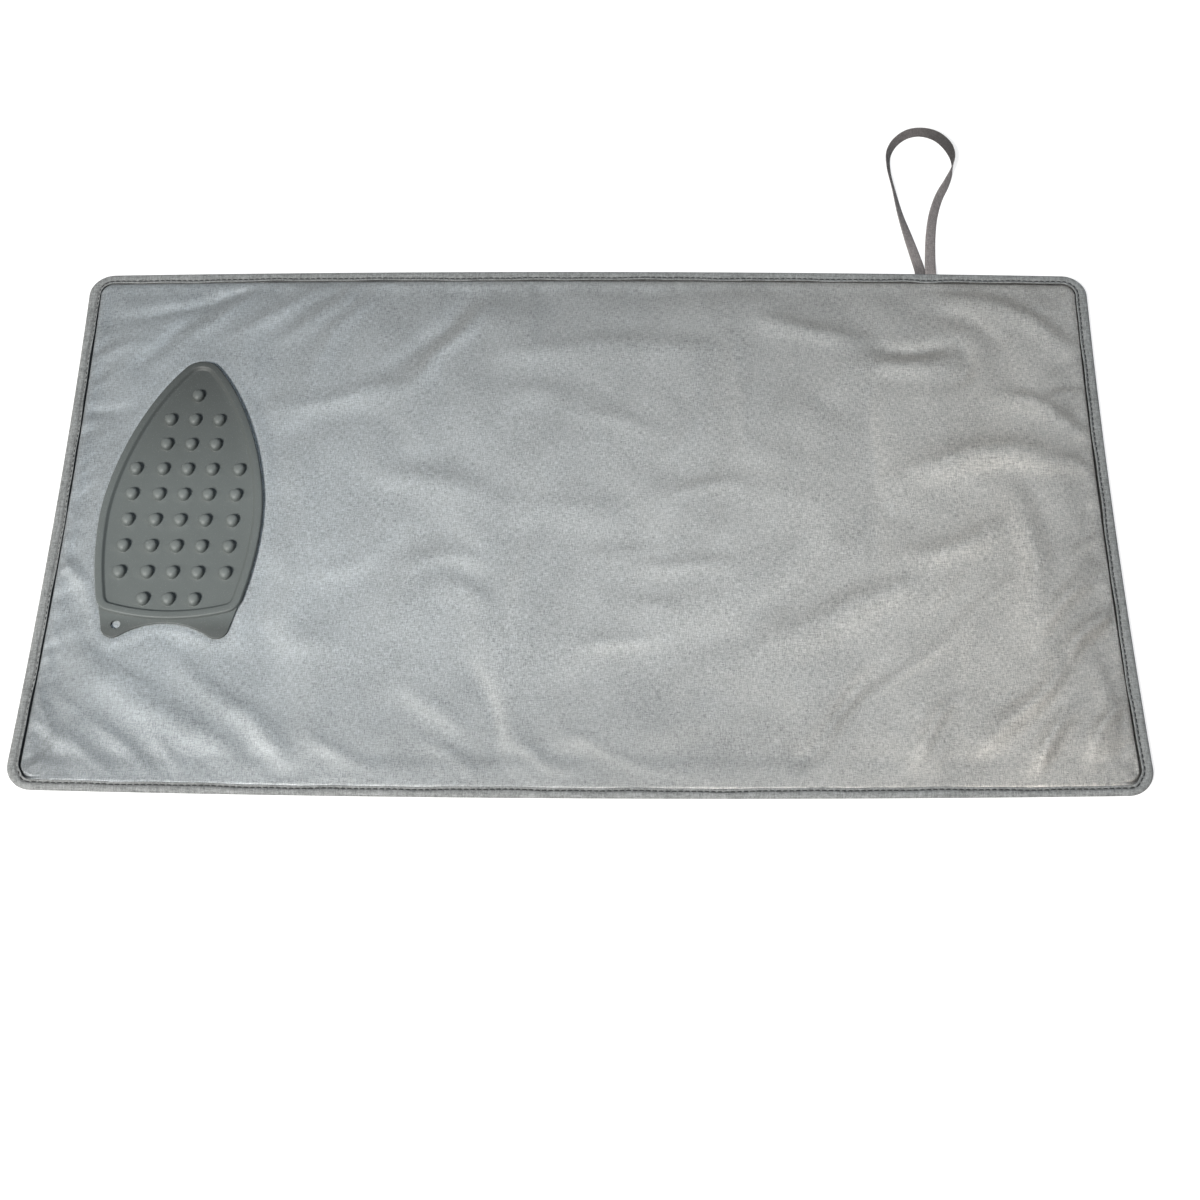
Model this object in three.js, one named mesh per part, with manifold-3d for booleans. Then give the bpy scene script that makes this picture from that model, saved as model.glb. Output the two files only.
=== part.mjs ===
// Ironing pad: a bound, padded cloth mat with a tape loop to hang it by and a loose silicone iron rest.
// Millimetres. The origin is the middle of the underside, +X runs along the pad, +Y to its far edge, +Z up.

import * as THREE from 'three';
import { mergeVertices } from 'three/addons/utils/BufferGeometryUtils.js';
import Module from 'manifold-3d';

// Pad
const PAD_LENGTH = 900;
const PAD_WIDTH = 500;
const CORNER_RADIUS = 22;
const SHORT_EDGE_DRAW = 4; // how far the middle of each short edge is drawn in
const LONG_EDGE_BOW = 5; // how far the middle of each long edge bows out
const FACE_CLOTH = 0.5;
const BACK_CLOTH = 0.5;
const WADDING_LOFT = 5.5; // thickness in the open field of the pad
const WADDING_PRESSED = 1.6; // thickness where the binding grips it
const CROWN_RUN = 50; // width of the strip in which the pad swells from the binding to its full loft
const LAYER_GAP = 0.3; // clearance between neighbouring layers

// Binding and seam
const BINDING_FLAP = 10; // width of the tape on each face of the pad
const BINDING_CLOTH = 1.2; // thickness of the doubled tape
const SEAM_INSET = 7; // distance of the stitch line from the pad's edge
const THREAD = 0.5;
const THREAD_CLEARANCE = 0.15;

// Hanging loop
const TAPE_WIDTH = 10;
const TAPE_THICKNESS = 0.8;
const LOOP_FROM_RIGHT = 143; // from the pad's right edge to the middle of the loop's two ends
const LOOP_END_STEP = 1.4; // height from the lower tape end to the upper one
const LOOP_CLEARANCE = 0.5; // from the binding to the tape's ends
const FLOOR_CLEARANCE = 0.1;
const LOOP_SETTLE = 24; // distance from the pad at which the tape has come down to the table

// Iron rest
const REST_LENGTH = 254; // from the rear of the rim to the tip
const REST_WIDTH = 137;
const REST_WIDEST = 93; // from the rear of the rim to the widest place
const REST_REAR_WIDTH = 120;
const REST_REAR_RISE = 19; // from the rear of the rim to where its sides start
const REST_REAR_LEAN = 13; // degrees that the sides lean out there
const REST_REAR_RADIUS = 180;
const REST_REAR_ARC = 16; // degrees that the rear arc covers on each side
const REST_TIP_RADIUS = 19;
const REST_TIP_ARC = 50; // degrees that the tip's round covers on each side
// Lengths of the side curves' handles, as shares of the run below or above the widest place
const SIDE_HANDLES = { rear: 0.25, belowWidest: 0.4, aboveWidest: 0.27, shoulder: 0.36 };
const REST_FROM_LEFT = 112; // from the pad's left edge to the rest's axis
const REST_FROM_NEAR = 146.5; // from the pad's near edge to the rear of the rim
const REST_TURN = -0.65; // degrees
const REST_FLOOR = 2.5;
const RIM_WIDTH = 7;
const RIM_HEIGHT = 5;
const RIM_ROUND = 1.2;
const UNDERSIDE_ROUND = 0.8;
const SEAT_CLEARANCE = 0.3;
const REST_PRESS = 42; // width of the strip round the rest in which its weight keeps the cloth flat
const NUB_DIAMETER = 11;
const NUB_HEIGHT = 6; // above the floor of the rest
const NUB_FULLNESS = 0.65; // 1 for a round dome, less for a fuller one
const NUB_ROW_PITCH = 25;
const NUB_COLUMN_PITCH = 21;
const NUB_OUTER_STEP = 23; // from the second column to the outer one
const NUB_REAR_MARGIN = 19; // from the rear of the rim to the first row
const NUBS_IN_ROW = [3, 5, 5, 5, 5, 5, 3, 3, 1]; // from the rear to the tip
const TAIL_THICKNESS = 2.2;
const TAIL_REACH = 16.6; // how far the tail's lobes reach behind the rim
const TAIL_NOTCH = 3; // how far the hollow between the lobes stays behind the rim
const TAIL_ROOT_WIDTH = 117;
const TAIL_ROOT = 18; // how far the tail is rooted under the rim
const TAIL_EDGE = 0.5; // size of the tail's broken edge
const LOBE_RADIUS = 10;
const LOBE_SPACING = 85;
const HANG_HOLE = 8;
const HANG_HOLE_PLACE = [-40.6, -5];

// Route of the tape from its lower end round to its upper end: sideways from the middle of the ends,
// outward from the pad's edge, and the tape's turn about its own run in degrees
const LOOP_ROUTE = [
  [-4.6, 0, 0],
  [-4.7, 4, 0],
  [-7, 18, -5],
  [-12.5, 42, -20],
  [-18.5, 68.5, -45],
  [-22.5, 95, -60],
  [-26, 122, -62],
  [-25, 140, -63],
  [-18, 154, -66],
  [-6, 164, -70],
  [7, 166.5, -74],
  [21, 162, -62],
  [31, 150.5, -54],
  [35, 135, -75],
  [32.5, 119, -101],
  [27, 105.5, -120],
  [18.5, 88.5, -135],
  [12, 68.5, -148],
  [8, 45.5, -160],
  [5.6, 18, -173],
  [4.7, 4, -180],
  [4.6, 0, -180],
];

// Main folds of the face cloth: where each ridge starts and ends, its height and its half width
const FACE_FOLDS = [
  { from: [-435, -110], to: [-290, -205], height: 3.6, spread: 24 },
  { from: [-290, -170], to: [-190, -225], height: 2.6, spread: 24 },
  { from: [-430, 130], to: [-320, 215], height: 2.2, spread: 22 },
  { from: [-150, 120], to: [-80, 215], height: 2, spread: 26 },
  { from: [180, 195], to: [310, 165], height: 2.2, spread: 24 },
  { from: [270, 25], to: [425, 45], height: 3.2, spread: 26 },
  { from: [200, -225], to: [300, -90], height: 2.4, spread: 26 },
  { from: [290, -210], to: [410, -95], height: 2.6, spread: 26 },
];

// Mesh fineness
const EDGE_STEP = 80;
const CORNER_STEPS = 6;
const FACE_CELLS = [20, 10];
const PLAIN_CELLS = [6, 4];
const TAPE_STEPS = 64;
const NUB_SIDES = 12;
const NUB_RINGS = 4;
const FOLD_STEPS = { outer: 6, inner: 4 };
const THREAD_SIDES = 4;
const REST_STEPS = { EllipseCurve: 6, QuadraticBezierCurve: 4, CubicBezierCurve: 9 };
const LOBE_STEPS = 10;
const HOLE_SIDES = 16;
const MERGE_WITHIN = 1e-4;

// Finishes
const BACKING = { color: 0x8c8f90, roughness: 0.9 };
const PADDING = { color: 0xe6e3da, roughness: 1 };
const SILVER_CLOTH = { color: 0xb0b4b5, roughness: 0.5, metalness: 0.3 };
const BINDING_TAPE = { color: 0x9a9d9c, roughness: 0.85 };
const DARK_THREAD = { color: 0x4a4d4c, roughness: 0.7 };
const LOOP_TAPE = { color: 0x837d79, roughness: 0.8 };
const SILICONE = { color: 0x6c7370, roughness: 0.55 };

// Sizes that follow
const HALF_LENGTH = PAD_LENGTH / 2;
const HALF_WIDTH = PAD_WIDTH / 2;
const PRESSED_STACK = BACK_CLOTH + WADDING_PRESSED + FACE_CLOTH + 2 * LAYER_GAP;
const BINDING_THICKNESS = PRESSED_STACK + 2 * LAYER_GAP + 2 * BINDING_CLOTH;
const BINDING_ROUND = BINDING_THICKNESS / 2;
const CROWN_END = BINDING_FLAP + CROWN_RUN;
const FACE_TOP = BACK_CLOTH + LAYER_GAP + WADDING_LOFT + LAYER_GAP + FACE_CLOTH;
const REST_X = REST_FROM_LEFT - HALF_LENGTH;
const REST_Y = REST_FROM_NEAR - HALF_WIDTH;

const wasm = await Module();
wasm.setup();

const smooth = (t) => t * t * (3 - 2 * t);
const unit = (t) => THREE.MathUtils.clamp(t, 0, 1);
const radians = THREE.MathUtils.degToRad;

// Turns the faces of a closed geometry outward.
function facingOut(geometry) {
  const place = geometry.attributes.position;
  const index = geometry.index.array;
  const [a, b, c] = [new THREE.Vector3(), new THREE.Vector3(), new THREE.Vector3()];
  let volume = 0;
  for (let i = 0; i < index.length; i += 3) {
    a.fromBufferAttribute(place, index[i]);
    b.fromBufferAttribute(place, index[i + 1]);
    c.fromBufferAttribute(place, index[i + 2]);
    volume += a.dot(b.cross(c));
  }
  if (volume < 0) {
    for (let i = 0; i < index.length; i += 3) {
      [index[i + 1], index[i + 2]] = [index[i + 2], index[i + 1]];
    }
  }
  return geometry;
}

function geometryOf(points, faces) {
  const geometry = new THREE.BufferGeometry();
  geometry.setAttribute('position', new THREE.Float32BufferAttribute(points.flat(), 3));
  geometry.setIndex(faces.flat());
  return facingOut(geometry);
}

// Skins a row of rings of equal point counts. The row closes on itself, or its two ends are capped flat.
function loft(rings, closesOnItself) {
  const count = rings[0].length;
  const faces = [];
  const spans = closesOnItself ? rings.length : rings.length - 1;
  for (let r = 0; r < spans; r++) {
    const here = r * count;
    const next = ((r + 1) % rings.length) * count;
    for (let i = 0; i < count; i++) {
      const j = (i + 1) % count;
      faces.push([here + i, here + j, next + j], [here + i, next + j, next + i]);
    }
  }
  if (!closesOnItself) {
    const last = rings.length - 1;
    for (const [r, reversed] of [[0, true], [last, false]]) {
      const flat = rings[r].map((p) => new THREE.Vector2(p[0], p[1]));
      for (const [a, b, c] of THREE.ShapeUtils.triangulateShape(flat, [])) {
        const corners = reversed ? [a, c, b] : [a, b, c];
        faces.push(corners.map((k) => r * count + k));
      }
    }
  }
  return geometryOf(rings.flat(), faces);
}

// The pad's edges as sewn: short edges drawn in and long edges bowed out, most at their middles.
function settled(x, y) {
  const along = x / HALF_LENGTH;
  const across = y / HALF_WIDTH;
  return [
    x - SHORT_EDGE_DRAW * along * (1 - across * across),
    y + LONG_EDGE_BOW * across * (1 - along * along),
  ];
}

// Places round the pad's outline, each with the direction that points out of the pad there.
function padStations() {
  const stations = [];
  const coreX = HALF_LENGTH - CORNER_RADIUS;
  const coreY = HALF_WIDTH - CORNER_RADIUS;
  const corners = [[coreX, -coreY], [coreX, coreY], [-coreX, coreY], [-coreX, -coreY]];
  corners.forEach(([cx, cy], k) => {
    const start = -Math.PI / 2 + (k * Math.PI) / 2;
    for (let i = 0; i <= CORNER_STEPS; i++) {
      const angle = start + ((Math.PI / 2) * i) / CORNER_STEPS;
      stations.push({ core: [cx, cy], radius: CORNER_RADIUS, out: [Math.cos(angle), Math.sin(angle)] });
    }
    const [nx, ny] = corners[(k + 1) % corners.length];
    const out = [Math.cos(start + Math.PI / 2), Math.sin(start + Math.PI / 2)];
    const steps = Math.max(2, Math.round(Math.hypot(nx - cx, ny - cy) / EDGE_STEP));
    for (let i = 1; i < steps; i++) {
      const core = [cx + ((nx - cx) * i) / steps, cy + ((ny - cy) * i) / steps];
      stations.push({ core, radius: CORNER_RADIUS, out });
    }
  });
  return stations;
}

// Ring round the pad at a distance in from its edge, at one height.
function padRing(inset, z) {
  return padStations().map(({ core, radius, out }) => {
    const reach = radius - inset;
    return [...settled(core[0] + out[0] * reach, core[1] + out[1] * reach), z];
  });
}

// Share of the full loft at a distance in from the pad's edge: none under the binding, steep just inside it.
function loftShare(inset) {
  const left = 1 - unit((inset - BINDING_FLAP) / CROWN_RUN);
  return 1 - left * left;
}

const backBottom = (inset) => (BINDING_CLOTH + LAYER_GAP) * (1 - loftShare(inset));
const waddingBottom = (inset) => backBottom(inset) + BACK_CLOTH + LAYER_GAP;
const waddingTop = (inset) =>
  waddingBottom(inset) + THREE.MathUtils.lerp(WADDING_PRESSED, WADDING_LOFT, loftShare(inset));

// Share of a fold that is left beside the iron rest: none under it and close round it, all further off.
function foldShare(x, y) {
  const aside = Math.abs(x - REST_X) - REST_WIDTH / 2;
  const behind = REST_Y - TAIL_REACH - y;
  const beyond = y - REST_Y - REST_LENGTH;
  const away = Math.hypot(Math.max(0, aside), Math.max(0, behind, beyond));
  return smooth(unit(away / REST_PRESS - 1));
}

// Height that the face cloth's folds add: each is a ridge that falls off to its sides and fades at its ends.
function foldHeight(x, y, inset) {
  let height = 0;
  for (const fold of FACE_FOLDS) {
    const runX = fold.to[0] - fold.from[0];
    const runY = fold.to[1] - fold.from[1];
    const run = Math.hypot(runX, runY);
    const along = ((x - fold.from[0]) * runX + (y - fold.from[1]) * runY) / run;
    const aside = ((x - fold.from[0]) * runY - (y - fold.from[1]) * runX) / run;
    const past = Math.max(0, -along, along - run);
    height += fold.height * Math.exp(-(aside * aside + past * past) / (fold.spread * fold.spread));
  }
  return height * foldShare(x, y) * loftShare(inset);
}

const faceBottom = (inset, x, y) => waddingTop(inset) + LAYER_GAP + foldHeight(x, y, inset);

// Lines of points along one side of a layer: close together in the border, even in the field.
function layerLines(halfSide, fieldCells) {
  const border = [
    BINDING_ROUND,
    BINDING_FLAP,
    (BINDING_FLAP + CORNER_RADIUS) / 2,
    CORNER_RADIUS,
    CROWN_END,
  ].sort((a, b) => a - b);
  const field = halfSide - border.at(-1);
  const lines = border.map((inset) => inset - halfSide);
  for (let i = 1; i < fieldCells; i++) {
    lines.push(-field + (2 * field * i) / fieldCells);
  }
  lines.push(...border.toReversed().map((inset) => halfSide - inset));
  return lines;
}

// Point of a layer, with the corner's lines bent to arcs at one distance from the pad's rounded edge.
function layerPoint(x, y) {
  const fromShort = HALF_LENGTH - Math.abs(x);
  const fromLong = HALF_WIDTH - Math.abs(y);
  const inset = Math.min(fromShort, fromLong);
  let [px, py] = [Math.abs(x), Math.abs(y)];
  if (Math.max(fromShort, fromLong) < CORNER_RADIUS) {
    const radius = CORNER_RADIUS - inset;
    const share = (CORNER_RADIUS - Math.max(fromShort, fromLong)) / radius / 2;
    const angle = (Math.PI / 2) * (fromShort < fromLong ? share : 1 - share);
    px = HALF_LENGTH - CORNER_RADIUS + radius * Math.cos(angle);
    py = HALF_WIDTH - CORNER_RADIUS + radius * Math.sin(angle);
  }
  return { inset, place: settled(Math.sign(x) * px, Math.sign(y) * py) };
}

// Closed solid of one layer of the pad between two surfaces given as heights.
function layer(bottom, top, [cellsX, cellsY]) {
  const linesX = layerLines(HALF_LENGTH, cellsX);
  const linesY = layerLines(HALF_WIDTH, cellsY);
  const columns = linesX.length;
  const rows = linesY.length;
  const lower = [];
  const upper = [];
  for (const y of linesY) {
    for (const x of linesX) {
      const { inset, place } = layerPoint(x, y);
      lower.push([...place, bottom(inset, ...place)]);
      upper.push([...place, top(inset, ...place)]);
    }
  }
  const raise = columns * rows;
  const faces = [];
  for (let j = 0; j + 1 < rows; j++) {
    for (let i = 0; i + 1 < columns; i++) {
      const a = j * columns + i;
      const [b, c, d] = [a + 1, a + columns + 1, a + columns];
      faces.push([a, d, c], [a, c, b]);
      faces.push([raise + a, raise + b, raise + c], [raise + a, raise + c, raise + d]);
    }
  }
  const rim = [];
  for (let i = 0; i + 1 < columns; i++) rim.push(i);
  for (let j = 0; j + 1 < rows; j++) rim.push(j * columns + columns - 1);
  for (let i = columns - 1; i > 0; i--) rim.push((rows - 1) * columns + i);
  for (let j = rows - 1; j > 0; j--) rim.push(j * columns);
  rim.forEach((a, k) => {
    const b = rim[(k + 1) % rim.length];
    faces.push([a, b, raise + b], [a, raise + b, raise + a]);
  });
  return geometryOf([...lower, ...upper], faces);
}

// Half circle from the pad's underside to its top, seen across the edge, about the binding's fold.
function foldArc(radius, steps) {
  const arc = [];
  for (let i = 0; i <= steps; i++) {
    const angle = -Math.PI / 2 - (Math.PI * i) / steps;
    arc.push([BINDING_ROUND + radius * Math.cos(angle), BINDING_ROUND + radius * Math.sin(angle)]);
  }
  return arc;
}

// Folded tape round the pad's edge: a U in section, with a groove on each face where the seam draws it in.
function bindingGeometry() {
  const grooveDepth = THREAD + THREAD_CLEARANCE;
  const grooveHalf = THREAD / 2 + THREAD_CLEARANCE;
  const groove = (face, into) => [
    [SEAM_INSET - grooveHalf, face],
    [SEAM_INSET - grooveHalf, face + into],
    [SEAM_INSET + grooveHalf, face + into],
    [SEAM_INSET + grooveHalf, face],
  ];
  const section = [
    [BINDING_FLAP, 0],
    ...groove(0, grooveDepth).toReversed(),
    ...foldArc(BINDING_ROUND, FOLD_STEPS.outer),
    ...groove(BINDING_THICKNESS, -grooveDepth),
    [BINDING_FLAP, BINDING_THICKNESS],
    [BINDING_FLAP, BINDING_THICKNESS - BINDING_CLOTH],
    ...foldArc(BINDING_ROUND - BINDING_CLOTH, FOLD_STEPS.inner).toReversed(),
    [BINDING_FLAP, BINDING_CLOTH],
  ];
  return loft(section.map(([inset, z]) => padRing(inset, z)), true);
}

// Sewing thread lying in its groove all round the pad.
function threadGeometry(middle) {
  const reach = THREAD / 2;
  const rings = [];
  for (let i = 0; i < THREAD_SIDES; i++) {
    const angle = (2 * Math.PI * i) / THREAD_SIDES;
    rings.push(padRing(SEAM_INSET + reach * Math.cos(angle), middle + reach * Math.sin(angle)));
  }
  return loft(rings, true);
}

// Tape bent to a loop: flat at the pad, turning on edge round the bow, one end above the other.
function loopGeometry() {
  const half = TAPE_WIDTH / 2;
  const thin = TAPE_THICKNESS / 2;
  const x = HALF_LENGTH - LOOP_FROM_RIGHT;
  const edge = settled(x, HALF_WIDTH)[1] + LOOP_CLEARANCE;
  const curveOf = (points) => new THREE.CatmullRomCurve3(points.map((p) => new THREE.Vector3(...p)));
  const path = curveOf(LOOP_ROUTE.map(([aside, out]) => [aside, out, 0]));
  const turns = curveOf(LOOP_ROUTE.map(([, , turn]) => [turn, 0, 0]));
  const rings = [];
  for (let i = 0; i <= TAPE_STEPS; i++) {
    const t = i / TAPE_STEPS;
    const spot = path.getPoint(t);
    const along = path.getTangent(t);
    const inward = new THREE.Vector3(along.y, -along.x, 0);
    const turn = radians(turns.getPoint(t).x);
    const lying = FLOOR_CLEARANCE + half * Math.abs(Math.sin(turn)) + thin * Math.abs(Math.cos(turn));
    const end = BINDING_ROUND + (t < 0.5 ? -0.5 : 0.5) * LOOP_END_STEP;
    const z = THREE.MathUtils.lerp(end, lying, smooth(unit(spot.y / LOOP_SETTLE)));
    const middle = new THREE.Vector3(x + spot.x, edge + spot.y, z);
    const wide = inward.clone().multiplyScalar(Math.cos(turn)).setZ(Math.sin(turn));
    const face = inward.clone().multiplyScalar(-Math.sin(turn)).setZ(Math.cos(turn));
    const corners = [[-1, -1], [1, -1], [1, 1], [-1, 1]];
    rings.push(corners.map(([w, f]) => {
      const corner = middle.clone().addScaledVector(wide, w * half).addScaledVector(face, f * thin);
      return corner.toArray();
    }));
  }
  return stripGeometry(rings);
}

// Skins a row of four-cornered sections and closes both ends.
function stripGeometry(rings) {
  const faces = [];
  for (let r = 0; r + 1 < rings.length; r++) {
    for (let i = 0; i < 4; i++) {
      const a = r * 4 + i;
      const b = r * 4 + ((i + 1) % 4);
      faces.push([a, b, b + 4], [a, b + 4, a + 4]);
    }
  }
  const end = (rings.length - 1) * 4;
  faces.push([0, 3, 2], [0, 2, 1], [end, end + 1, end + 2], [end, end + 2, end + 3]);
  return geometryOf(rings.flat(), faces);
}

// Outline of the rest's body, drawn in by inset: a shallow rear arc, swelling sides and a rounded tip.
function restRing(inset, z) {
  const shift = (point, out) => new THREE.Vector2(point[0] - out[0] * inset, point[1] - out[1] * inset);
  const lean = radians(REST_REAR_LEAN);
  const arc = radians(REST_REAR_ARC);
  const tipTurn = radians(90 - REST_TIP_ARC);
  const tipMiddle = REST_LENGTH - REST_TIP_RADIUS;
  const sideStart = shift([REST_REAR_WIDTH / 2, REST_REAR_RISE], [Math.cos(lean), -Math.sin(lean)]);
  const widest = shift([REST_WIDTH / 2, REST_WIDEST], [1, 0]);
  const tipOut = [Math.cos(tipTurn), Math.sin(tipTurn)];
  const shoulder = shift([REST_TIP_RADIUS * tipOut[0], tipMiddle + REST_TIP_RADIUS * tipOut[1]], tipOut);
  const rearReach = REST_REAR_RADIUS - inset;
  const rearEnd = [rearReach * Math.sin(arc), REST_REAR_RADIUS - rearReach * Math.cos(arc)];
  // Where the rear arc's tangent meets the side's, for the round between them
  const gap = [sideStart.x - rearEnd[0], sideStart.y - rearEnd[1]];
  const cross = Math.cos(arc) * Math.cos(lean) - Math.sin(arc) * Math.sin(lean);
  const step = (gap[0] * Math.cos(lean) - gap[1] * Math.sin(lean)) / cross;
  const corner = [rearEnd[0] + step * Math.cos(arc), rearEnd[1] + step * Math.sin(arc)];
  const low = REST_WIDEST - REST_REAR_RISE;
  const high = shoulder.y - REST_WIDEST;
  const path = new THREE.Path();
  path.absarc(0, REST_REAR_RADIUS, rearReach, -Math.PI / 2, -Math.PI / 2 + arc, false);
  path.quadraticCurveTo(corner[0], corner[1], sideStart.x, sideStart.y);
  const rearHandle = SIDE_HANDLES.rear * low;
  const shoulderHandle = SIDE_HANDLES.shoulder * high;
  path.bezierCurveTo(
    sideStart.x + rearHandle * Math.sin(lean), sideStart.y + rearHandle * Math.cos(lean),
    widest.x, widest.y - SIDE_HANDLES.belowWidest * low, widest.x, widest.y);
  path.bezierCurveTo(
    widest.x, widest.y + SIDE_HANDLES.aboveWidest * high,
    shoulder.x + shoulderHandle * tipOut[1], shoulder.y - shoulderHandle * tipOut[0],
    shoulder.x, shoulder.y);
  path.absarc(0, tipMiddle, REST_TIP_RADIUS - inset, tipTurn, Math.PI / 2, false);
  const bends = path.curves.filter((curve) => curve.type in REST_STEPS);
  const right = bends.flatMap((curve) => curve.getPoints(REST_STEPS[curve.type]).slice(0, -1));
  const top = new THREE.Vector2(0, REST_LENGTH - inset);
  const left = right.slice(1).toReversed().map((p) => new THREE.Vector2(-p.x, p.y));
  return [...right, top, ...left].map((p) => [p.x, p.y, z]);
}

function solidOf(geometry) {
  geometry.deleteAttribute('normal');
  geometry.deleteAttribute('uv');
  const merged = mergeVertices(geometry, MERGE_WITHIN);
  return new wasm.Manifold(new wasm.Mesh({
    numProp: 3,
    vertProperties: new Float32Array(merged.attributes.position.array),
    triVerts: new Uint32Array(merged.index.array),
  }));
}

function geometryFrom(solid) {
  const mesh = solid.getMesh();
  const geometry = new THREE.BufferGeometry();
  geometry.setAttribute('position', new THREE.Float32BufferAttribute(mesh.vertProperties, 3));
  geometry.setIndex(Array.from(mesh.triVerts));
  return geometry;
}

// Flap behind the rim: two round lobes with a hollow arc between them that runs into both.
function tailGeometry() {
  const lobeX = LOBE_SPACING / 2;
  const lobeY = LOBE_RADIUS - TAIL_REACH;
  const rise = lobeY + TAIL_NOTCH;
  const hollow = (lobeX * lobeX + rise * rise - LOBE_RADIUS * LOBE_RADIUS) / (2 * (LOBE_RADIUS - rise));
  const hollowY = -TAIL_NOTCH - hollow;
  const meet = Math.atan2(lobeY - hollowY, lobeX);
  const rootX = TAIL_ROOT_WIDTH / 2;
  const reach = Math.hypot(rootX - lobeX, TAIL_ROOT - lobeY);
  const outer = Math.atan2(TAIL_ROOT - lobeY, rootX - lobeX) - Math.acos(LOBE_RADIUS / reach);
  const shape = new THREE.Shape();
  shape.moveTo(rootX, TAIL_ROOT);
  shape.lineTo(lobeX + LOBE_RADIUS * Math.cos(outer), lobeY + LOBE_RADIUS * Math.sin(outer));
  shape.absarc(lobeX, lobeY, LOBE_RADIUS, outer, meet - Math.PI, true);
  shape.absarc(0, hollowY, hollow, meet, Math.PI - meet, false);
  shape.absarc(-lobeX, lobeY, LOBE_RADIUS, -meet, Math.PI - outer, true);
  shape.lineTo(-rootX, TAIL_ROOT);
  const geometry = new THREE.ExtrudeGeometry(shape, {
    depth: TAIL_THICKNESS - 2 * TAIL_EDGE,
    bevelThickness: TAIL_EDGE,
    bevelSize: TAIL_EDGE,
    bevelOffset: -TAIL_EDGE,
    bevelSegments: 1,
    curveSegments: LOBE_STEPS,
  });
  return geometry.translate(0, 0, TAIL_EDGE);
}

// Round-topped nub standing on the floor of the rest, rooted a little below it.
function nubGeometry() {
  const radius = NUB_DIAMETER / 2;
  const root = REST_FLOOR / 2;
  const profile = [new THREE.Vector2(0, root), new THREE.Vector2(radius, root)];
  for (let i = 0; i <= NUB_RINGS; i++) {
    const angle = ((Math.PI / 2) * i) / NUB_RINGS;
    const reach = i === NUB_RINGS ? 0 : radius * Math.cos(angle) ** NUB_FULLNESS;
    profile.push(new THREE.Vector2(reach, REST_FLOOR + NUB_HEIGHT * Math.sin(angle) ** NUB_FULLNESS));
  }
  return new THREE.LatheGeometry(profile, NUB_SIDES).rotateX(Math.PI / 2);
}

// Sideways places of a row of nubs: one, three or five about the axis.
function nubColumns(count) {
  const sides = [NUB_COLUMN_PITCH, NUB_COLUMN_PITCH + NUB_OUTER_STEP].slice(0, (count - 1) / 2);
  return [0, ...sides, ...sides.map((x) => -x)];
}

// Silicone rest for a hot iron: dished plate with a raised rim, rows of nubs and a tail with a hanging hole.
function restGeometry() {
  const soft = RIM_ROUND * (1 - Math.SQRT1_2);
  const section = [
    [UNDERSIDE_ROUND, 0],
    [0, UNDERSIDE_ROUND],
    [0, RIM_HEIGHT - RIM_ROUND],
    [soft, RIM_HEIGHT - soft],
    [RIM_ROUND, RIM_HEIGHT],
    [RIM_WIDTH - RIM_ROUND, RIM_HEIGHT],
    [RIM_WIDTH - soft, RIM_HEIGHT - soft],
    [RIM_WIDTH, RIM_HEIGHT - RIM_ROUND],
    [RIM_WIDTH, REST_FLOOR],
  ];
  const dish = loft(section.map(([inset, z]) => restRing(inset, z)), false);
  let rest = solidOf(dish).add(solidOf(tailGeometry()));
  NUBS_IN_ROW.forEach((count, row) => {
    for (const x of nubColumns(count)) {
      rest = rest.add(solidOf(nubGeometry().translate(x, NUB_REAR_MARGIN + row * NUB_ROW_PITCH, 0)));
    }
  });
  const hole = new THREE.CylinderGeometry(HANG_HOLE / 2, HANG_HOLE / 2, 3 * TAIL_THICKNESS, HOLE_SIDES);
  hole.rotateX(Math.PI / 2).translate(...HANG_HOLE_PLACE, TAIL_THICKNESS / 2);
  return geometryFrom(rest.subtract(solidOf(hole)));
}

const pad = new THREE.Group();

function addPiece(name, geometry, finish) {
  const mesh = new THREE.Mesh(geometry, new THREE.MeshStandardMaterial(finish));
  mesh.name = name;
  pad.add(mesh);
  return mesh;
}

const backTop = (inset) => backBottom(inset) + BACK_CLOTH;
const faceTop = (inset, x, y) => faceBottom(inset, x, y) + FACE_CLOTH;
const threadLow = THREAD / 2 + FLOOR_CLEARANCE / 2;

addPiece('back_cloth', layer(backBottom, backTop, PLAIN_CELLS), BACKING);
addPiece('wadding', layer(waddingBottom, waddingTop, PLAIN_CELLS), PADDING);
addPiece('face_cloth', layer(faceBottom, faceTop, FACE_CELLS), SILVER_CLOTH);
addPiece('edge_binding', bindingGeometry(), BINDING_TAPE);
addPiece('needle_thread', threadGeometry(BINDING_THICKNESS - threadLow), DARK_THREAD);
addPiece('bobbin_thread', threadGeometry(threadLow), DARK_THREAD);
addPiece('hanging_loop', loopGeometry(), LOOP_TAPE);

const rest = addPiece('iron_rest', restGeometry(), SILICONE);
rest.position.set(REST_X, REST_Y, FACE_TOP + SEAT_CLEARANCE);
rest.rotation.z = radians(REST_TURN);

export default pad;
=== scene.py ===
"""Ironing pad on a white table: cloth, binding, stitches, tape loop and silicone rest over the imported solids.

Lengths are in millimetres until a mesh is made, in the frame of the solids: +X along the pad, +Y to its far
edge, +Z up, with the origin in the middle of the underside.
"""
import math

import bmesh
import bpy
import numpy as np
from mathutils import Matrix, Vector


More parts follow.
